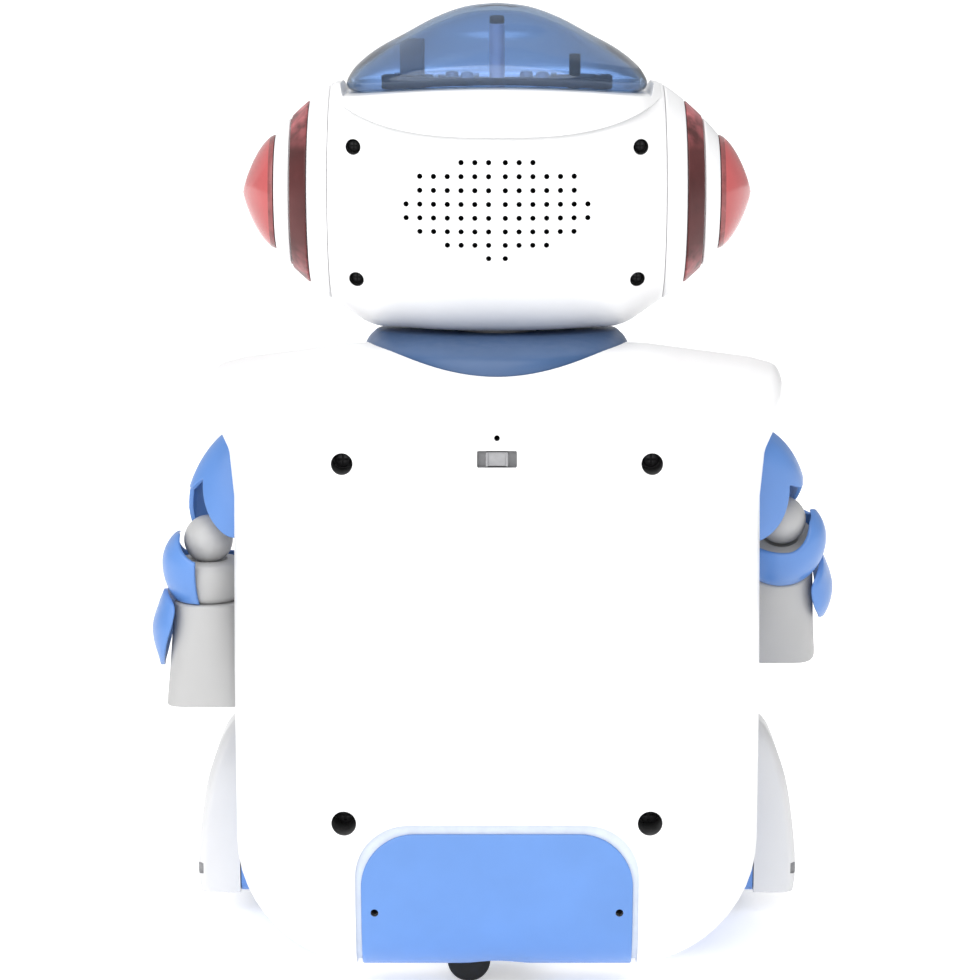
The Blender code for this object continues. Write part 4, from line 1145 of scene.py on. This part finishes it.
def chest_panel():
    front = FRONT_Y - GAP
    bm = bmesh.new()
    loops = [standing(rectangle(*PANEL, 0.010, PANEL_Z, steps=12), front)]
    for t in RIM_TURNS[::-1]:
        inset = 0.0008 * (1 - math.sin(t))
        outline = rectangle(PANEL[0] - inset, PANEL[1] - inset, 0.010 - inset, PANEL_Z, steps=12)
        loops.append(standing(outline, front - 0.0018 + 0.0008 * (1 - math.cos(t))))
    add_loft(bm, loops)
    stand_in("chest_panel", bm, cuts=(("DIFFERENCE", button_holes(48), None),))


def buttons():
    """Round buttons, each with an arrow head that points away from the panel's middle."""
    turns = {"forward": 90, "back": -90, "left": 0, "right": 180}
    for (name, turn), (x, z) in zip(turns.items(), button_places()):
        bm = bmesh.new()
        profile = [(0.0002, -0.0535), (0.0020, -0.05345), (0.0040, -0.0532), (0.0050, -0.0528)]
        profile += [(BUTTON_RADIUS, -0.0521), (BUTTON_RADIUS, -0.0460)]
        add_lathe(bm, profile, "Y", (x, 0, z), 48)
        angle = math.radians(turn)
        corners = []
        for k in range(3):
            a = angle + 2 * math.pi * k / 3
            corners.append((x + 0.0024 * math.cos(a), z + 0.0024 * math.sin(a), 0.0004))
        add_loft(bm, [standing(rounded(corners, 3), y) for y in (-0.0537, -0.0525)], material=1)
        stand_in(f"button_{name}", bm, ["button_yellow", "arrow_shade"])


def power_switch():
    half_x, half_z = SWITCH_KNOB[0] / 2, SWITCH_KNOB[1] / 2
    bm = bmesh.new()
    add_block(bm, (-half_x, 0.0545, SWITCH_Z - half_z), (half_x, 0.0580, SWITCH_Z + half_z), 0.0004, axis="Y")
    for sign in SIDES.values():
        low, high = sorted((sign * (half_x - 0.0007), sign * half_x))
        add_block(bm, (low, 0.0570, SWITCH_Z - half_z), (high, 0.0585, SWITCH_Z + half_z), 0.0003, axis="Y")
    add_block(bm, (-0.0079, 0.0546, SWITCH_Z - 0.0030), (0.0079, 0.0552, SWITCH_Z + 0.0030), 0.0001, axis="Y")
    stand_in("power_switch", bm, ["slot_shade"])


# ---------------------------------------------------------------- arms


def arm_matrix(side):
    pivot = Vector((0, 0, SHOULDER_Z))
    turn = Matrix.Rotation(-math.radians(ARM_SWING[side]), 4, "X")
    return Matrix.Translation(pivot) @ turn @ Matrix.Translation(-pivot)


def arm_piece(node, side, bm, materials=None, cuts=()):
    matrix = arm_matrix(side)
    for tool in [bm] + [cut[1] for cut in cuts]:
        bmesh.ops.transform(tool, matrix=matrix, verts=tool.verts)
    stand_in(f"{node}_{side}", bm, materials, cuts)


def cap_floor(angle):
    """The cap's lower edge by angle: low in front, 0 outside, a notch behind it, then the rear lobe."""
    turn = math.degrees(angle)
    rise = 0.0172 * smooth_step(-30, -4, turn) + 0.0034 * smooth_step(12, 32, turn)
    rise -= 0.0024 * smooth_step(-62, -40, turn)
    lobe = 0.0164 * math.sin(math.pi / 2 * min(max((turn - 32) / 35, 0.0), 1.0))
    return CAP_FLOOR + rise - lobe


def shoulder_cap(side, sign):
    cx, cy, cz = CAP_CENTRE
    rx, ry, rz = CAP_REACH

    def surface(u, v, depth):
        share = 2 * u - 1
        power = 0.65 if share < 0 else 1.0  # squarer in front, round behind
        angle = share * math.acos(((CAP_INNER - cx) / rx) ** (1 / power))
        rise = math.asin((cap_floor(angle) - cz) / rz)
        turn = rise + v * (math.radians(79.0) - rise)
        inset = 0.0014 * depth
        wide = math.cos(turn) * (1 - 0.05 * max(math.sin(2 * turn), 0.0))
        angle = share * math.acos(((CAP_INNER - cx) / (rx * wide)) ** (1 / power))
        x = max(cx + (rx - inset) * wide * math.cos(angle) ** power, CAP_INNER)
        y = (ry - inset) * wide * math.copysign(abs(math.sin(angle)) ** power, angle)
        return Vector((sign * x, cy + y, cz + (rz - inset) * math.sin(turn)))

    bm = bmesh.new()
    add_plate(bm, surface, evenly(84), evenly(48), 0.006, 0.012, 0.3)
    add_rod(bm, 0.0065, "X", (sign * 0.0668, 0, SHOULDER_Z), sign * 0.0100, 40)
    add_rod(bm, 0.0024, "Z", (sign * 0.0820, 0, ELBOW_Z + 0.004), 0.0150, 32)
    arm_piece("shoulder", side, bm)


def elbow_ball(side, sign):
    bm = bmesh.new()
    profile = []
    for k in range(25):
        angle = math.pi * (0.004 + 0.992 * k / 24)
        profile.append((BALL_RADIUS * math.sin(angle), ELBOW_Z - BALL_DROP - BALL_RADIUS * math.cos(angle)))
    add_lathe(bm, profile, "Z", (sign * ARM_X, 0, 0), 64)
    # The ball takes a greyed white: painted shade.
    arm_piece("elbow_ball", side, bm, ["white_arm_painted_shade"])


def cuff_top(side, angle):
    """Height of the cuff's upper edge: highest at the outer side of the arm, angle 0, and lowest in front."""
    turn = math.degrees(angle)
    if turn < 0:
        return CUFF_HIGH - 0.0078 * smooth_step(12, 60 if side == "left" else 50, -turn)
    if side == "right":
        return CUFF_HIGH - 0.0048 * smooth_step(20, 85, turn)
    return CUFF_HIGH - 0.0070 * smooth_step(18, 84, turn)


def cuff(side, sign):
    first, last = (math.radians(a) for a in CUFF_SPAN[side])

    def surface(u, v, depth):
        angle = first + u * (last - first)
        z = CUFF_LOW + v * (cuff_top(side, angle) - CUFF_LOW)
        height = (z - CUFF_MIDDLE) / (0.0125 if z > CUFF_MIDDLE else 0.0160)
        radius = CUFF_RADIUS * math.sqrt(1 - height * height) - 0.0013 * depth
        return Vector((sign * (ARM_X + radius * math.cos(angle)), radius * math.sin(angle), z))

    bm = bmesh.new()
    add_plate(bm, surface, evenly(80), evenly(24), 0.008, 0.035, 0.35)
    arm_piece("elbow_cuff", side, bm)


def sleeve_loop(sign, radius, z):
    """A circle at the sleeve's top that turns into a rounded square at its bottom."""
    (top, _), (bottom, _) = SLEEVE
    power = 2 + 3.6 * (top - z) / (top - bottom)
    loop = []
    for i in range(96):
        a, b = math.cos(math.pi * i / 48), math.sin(math.pi * i / 48)
        reach = radius * squared(a, b, power)
        loop.append(Vector((sign * ARM_X + reach * a, reach * b, z)))
    return loop


def elbow_cup(side, sign):
    low = 0.1051
    outside = curve_through([(0.0083, low, 0), (0.0096, low + 0.0016, 0), (0.0109, low + 0.0050, 0),
                             (0.0112, low + 0.0076, 0), (0.0109, low + 0.0097, 0),
                             (0.0101, low + 0.0112, 0)], 4)
    profile = [(p.x, p.y) for p in outside] + [(0.0093, low + 0.0117), (0.0056, low + 0.0118)]
    profile += [(0.0050, low + 0.0113), (0.0026, low + 0.0098)]
    bm = bmesh.new()
    add_lathe(bm, profile, "Z", (sign * ARM_X, 0, 0), 72)
    # The cup takes a greyed white: painted shade.
    arm_piece("elbow_cup", side, bm, ["white_sleeve_painted_shade"])


def forearm(side, sign):
    """The sleeve: a tapered block with a shallow hollow at its lower end."""
    (top, narrow), (bottom, wide) = SLEEVE
    wall = 0.0016
    corners = [(narrow - 0.0002, top, 0.0008), (wide, bottom, 0.0005), (wide - wall, bottom, 0.0004)]
    corners += [(wide - wall - 0.0004, bottom + 0.0080, 0.0008), (0.0004, bottom + 0.0080, 0.0)]
    corners.append((0.0004, top, 0.0))
    bm = bmesh.new()
    profile = [(p.x, p.y) for p in rounded(corners, 5)]
    loops_from = profile.index(min(profile, key=lambda p: (p[0], p[1])))
    profile = profile[loops_from:] + profile[:loops_from]
    add_loft(bm, [sleeve_loop(sign, radius, z) for radius, z in profile], ring=True)
    # The sleeve takes a greyed white: painted shade.
    arm_piece("forearm", side, bm, ["white_sleeve_painted_shade"])


# Height, outer radius round the arm's axis, and half the angle that the shield covers, in degrees.
FIN_STATIONS = (
    (0.1078, 0.0134, 4.0),
    (0.1068, 0.0138, 26.0),
    (0.1052, 0.0145, 42.0),
    (0.1032, 0.0152, 48.0),
    (0.1000, 0.0163, 49.0),
    (0.0969, 0.0169, 46.5),
    (0.0935, 0.0167, 40.0),
    (0.0904, 0.0160, 32.0),
    (0.0875, 0.0152, 20.0),
    (0.0850, 0.0147, 3.0),
)


def fin(side, sign):
    """A leaf-shaped shield that wraps the outer side of the forearm, on a hidden rib."""
    loops = []
    for z, radius, half in curve_through(FIN_STATIONS, 4):
        outside, inside = [], []
        for i in range(25):
            across = -1 + i / 12
            angle = math.radians(half * across)
            edge = 0.0009 * abs(across) ** 8
            outside.append((radius - edge, angle))
            inside.append((radius - 0.0013, angle))
        around = outside + inside[::-1]
        loops.append([Vector((sign * (ARM_X + r * math.cos(a)), r * math.sin(a), z)) for r, a in around])
    bm = bmesh.new()
    add_loft(bm, loops)
    low, high = sorted((sign * (ARM_X + 0.0122), sign * (ARM_X + 0.0158)))
    add_block(bm, (low, -0.0022, 0.0935), (high, 0.0022, 0.1000), 0.0006)
    arm_piece("forearm_fin", side, bm)


def arms():
    for side, sign in SIDES.items():
        shoulder_cap(side, sign)
        elbow_ball(side, sign)
        cuff(side, sign)
        elbow_cup(side, sign)
        forearm(side, sign)
        fin(side, sign)


# ---------------------------------------------------------------- drive


def chassis():
    """A rounded tray under the torso, with a wheel pod at each side of its front."""
    y0, y1 = CHASSIS_Y
    z0, z1 = CHASSIS_Z
    wall = 0.0025
    bm = bmesh.new()
    add_block(bm, (-CHASSIS_HALF, y0, z0), (CHASSIS_HALF, y1, z1), 0.0022, steps=6)
    pods, hollow, wells, axles, vents = (bmesh.new() for _ in range(5))
    for sign in SIDES.values():
        corners = [
            (LEG_Y[0] + 0.0005, LEG_FLOOR, 0.004),
            (LEG_Y[1] - 0.0003, LEG_FLOOR, 0.004),
            (LEG_Y[1] - 0.0003, POD_TOP, 0.014),
            (LEG_Y[0] + 0.0005, POD_TOP, 0.014),
        ]
        outline = rounded(corners, 12)
        add_loft(pods, [[(sign * x, p.x, p.y) for p in outline] for x in (CHASSIS_HALF - 0.004, POD_HALF)])
        low, high = sorted((sign * (WHEEL_X[0] - 0.0012), sign * (WHEEL_X[1] + 0.0012)))
        well_top = 2 * WHEEL_RADIUS + 0.0016
        add_block(wells, (low, WHEEL_Y - 0.0164, -0.001), (high, WHEEL_Y + 0.0164, well_top), 0.0010)
        start = (sign * (CHASSIS_HALF - wall - 0.001), WHEEL_Y, WHEEL_RADIUS)
        add_rod(axles, 0.0032, "X", start, sign * 0.0090, 32)
    add_block(hollow, (-0.0400, -0.0340, z0 + wall), (0.0400, y1 - wall, z1 + 0.01), 0.0012)
    for k in range(3):
        z = 0.0290 + 0.0050 * k
        ends = (-0.0220, y0 - 0.001, z - 0.0008), (0.0220, y0 + 0.0009, z + 0.0008)
        add_block(vents, *ends, 0.0004, axis="Y")
    cuts = (("UNION", pods, None), ("DIFFERENCE", hollow, None), ("DIFFERENCE", wells, "well_shade"),
            ("DIFFERENCE", axles, "well_shade"), ("DIFFERENCE", vents, None))
    stand_in("chassis", bm, cuts=cuts)


# Height, outer x and end margin.
LEG_STATIONS = (
    (LEG_FLOOR, 0.0906, 0.0006),
    (LEG_FLOOR + 0.0003, 0.0911, 0.0003),
    (LEG_FLOOR + 0.0010, 0.0914, 0.0001),
    (0.0148, 0.0920, 0.0),
    (0.0260, 0.0912, 0.0),
    (0.0400, 0.0893, 0.0010),
    (0.0480, 0.0872, 0.0035),
    (0.0550, 0.0843, 0.0075),
    (0.0592, 0.0810, 0.0125),
    (0.0600, 0.0800, 0.0140),
)


def legs():
    """The covers outside the wheels, flared towards the floor, with an axle cap."""
    for side, sign in SIDES.items():
        loops = []
        for z, out, margin in curve_through(LEG_STATIONS, 4):
            y0, y1 = LEG_Y[0] + max(margin, 0.0), LEG_Y[1] - max(margin, 0.0)
            radius = min(0.0030, (out - LEG_INNER) * 0.7)
            corners = [(LEG_INNER, y0, 0), (out, y0, radius), (out, y1, radius), (LEG_INNER, y1, 0)]
            loops.append([Vector((sign * p.x, p.y, z)) for p in rounded(corners, 10)])
        bm = bmesh.new()
        add_loft(bm, loops)
        recess = rod(0.0042, "X", (sign * 0.0906, WHEEL_Y, WHEEL_RADIUS), sign * 0.0040, 48)
        boss = rod(0.0030, "X", (sign * 0.0900, WHEEL_Y, WHEEL_RADIUS), sign * 0.0014, 48)
        notch = rod(0.0018, "X", (sign * 0.0903, LEG_Y[1] - 0.0012, 0.0152), sign * 0.0040, 24)
        # The covers take a greyed white: painted shade.
        stand_in(f"leg_{side}", bm, ["white_cover_painted_shade", "grey_plastic"],
                 cuts=(("DIFFERENCE", recess, "slot_shade"), ("UNION", boss, "grey_plastic"),
                       ("DIFFERENCE", notch, "slot_shade")))


def drive_wheels():
    low, high = WHEEL_X
    hub = WHEEL_RADIUS - TREAD - GAP
    for side, sign in SIDES.items():
        centre = (0, WHEEL_Y, WHEEL_RADIUS)
        corners = [(0.0028, low, 0.0003), (hub, low, 0.0004), (hub, high, 0.0006)]
        corners += [(hub - 0.0016, high, 0.0003), (hub - 0.0022, high - 0.0015, 0.0004)]
        corners += [(0.0055, high - 0.0015, 0.0004), (0.0050, high, 0.0004), (0.0028, high, 0.0003)]
        stand_in(f"wheel_hub_{side}", turned(rounded(corners, 3), sign, centre, 64))

        inner = WHEEL_RADIUS - TREAD
        corners = [(inner, low, 0), (WHEEL_RADIUS, low, 0.0012)]
        corners += [(WHEEL_RADIUS, high, 0.0012), (inner, high, 0)]
        bm = turned(rounded(corners, 5), sign, centre, 96)
        grooves = bmesh.new()
        for k in range(TREAD_GROOVES):
            spin = Matrix.Rotation(2 * math.pi * k / TREAD_GROOVES, 4, "X")
            tool = bmesh.new()
            x0, x1 = sorted((sign * (low - 0.001), sign * (high + 0.001)))
            ends = (x0, -0.0004, WHEEL_RADIUS - 0.0006), (x1, 0.0004, WHEEL_RADIUS + 0.001)
            add_block(tool, *ends, 0.0001)
            bmesh.ops.transform(tool, matrix=Matrix.Translation(centre) @ spin, verts=tool.verts)
            mesh = bpy.data.meshes.new("groove")
            tool.to_mesh(mesh)
            tool.free()
            grooves.from_mesh(mesh)
            bpy.data.meshes.remove(mesh)
        stand_in(f"tyre_{side}", bm, cuts=(("DIFFERENCE", grooves, None),))


def caster():
    x, y = CASTER[0] + CASTER_TRAIL, CASTER[1]
    corners = [(0.0013, -0.0028, 0.0002), (CASTER_RADIUS, -0.0028, 0.0014), (CASTER_RADIUS, 0.0028, 0.0014)]
    corners.append((0.0013, 0.0028, 0.0002))
    bm = bmesh.new()
    add_lathe(bm, [(p.x, p.y) for p in rounded(corners, 6)], "Y", (x, y, CASTER_RADIUS), 72, ring=True)
    stand_in("caster_wheel", bm)

    x0 = CASTER[0]
    bm = bmesh.new()
    profile = [(0.0062, 0.0138), (0.0068, 0.0142), (0.0068, 0.0156), (0.0064, 0.0160)]
    add_lathe(bm, profile, "Z", (x0, y, 0), 48)
    for sign in (1, -1):
        low, high = sorted((y + sign * 0.0032, y + sign * 0.0046))
        corners = [(x0 - 0.003, 0.0145, 0.0005), (x + 0.0022, 0.0145, 0.0005), (x + 0.0022, 0.0038, 0.0018)]
        corners.append((x - 0.0022, 0.0038, 0.0018))
        outline = rounded(corners, 6)
        add_loft(bm, [standing(outline, place) for place in (low, high)])
    add_rod(bm, 0.0030, "Z", (x0, y, 0.0150), 0.0090, 32)
    add_rod(bm, 0.0010, "Y", (x, y - 0.0048, CASTER_RADIUS), 0.0096, 24)
    stand_in("caster_fork", bm)


def inside_parts():
    """Parts that only show through gaps keep their shape and get the finished materials."""
    for node, obj in frame["nodes"].items():
        if node in ("neck_spigot", "battery_pack", "gearmotor_left", "gearmotor_right"):
            for place in obj.material_slots:
                place.material = bpy.data.materials[SLOT_OF[node]]


# ---------------------------------------------------------------- build


def main():
    for old in list(bpy.data.materials):
        old.name = f"cad_{old.name}"
    make_materials()
    studio()
    head_rear()
    head_front()
    crown()
    dome()
    lamp_board()
    dome_post()
    speaker()
    ears()
    collar()
    back = BackSurface()
    torso_rear(back)
    battery_door(back)
    bpy.data.meshes.remove(back.mesh)
    torso_front()
    chest_panel()
    buttons()
    power_switch()
    arms()
    chassis()
    legs()
    drive_wheels()
    caster()
    inside_parts()


main()
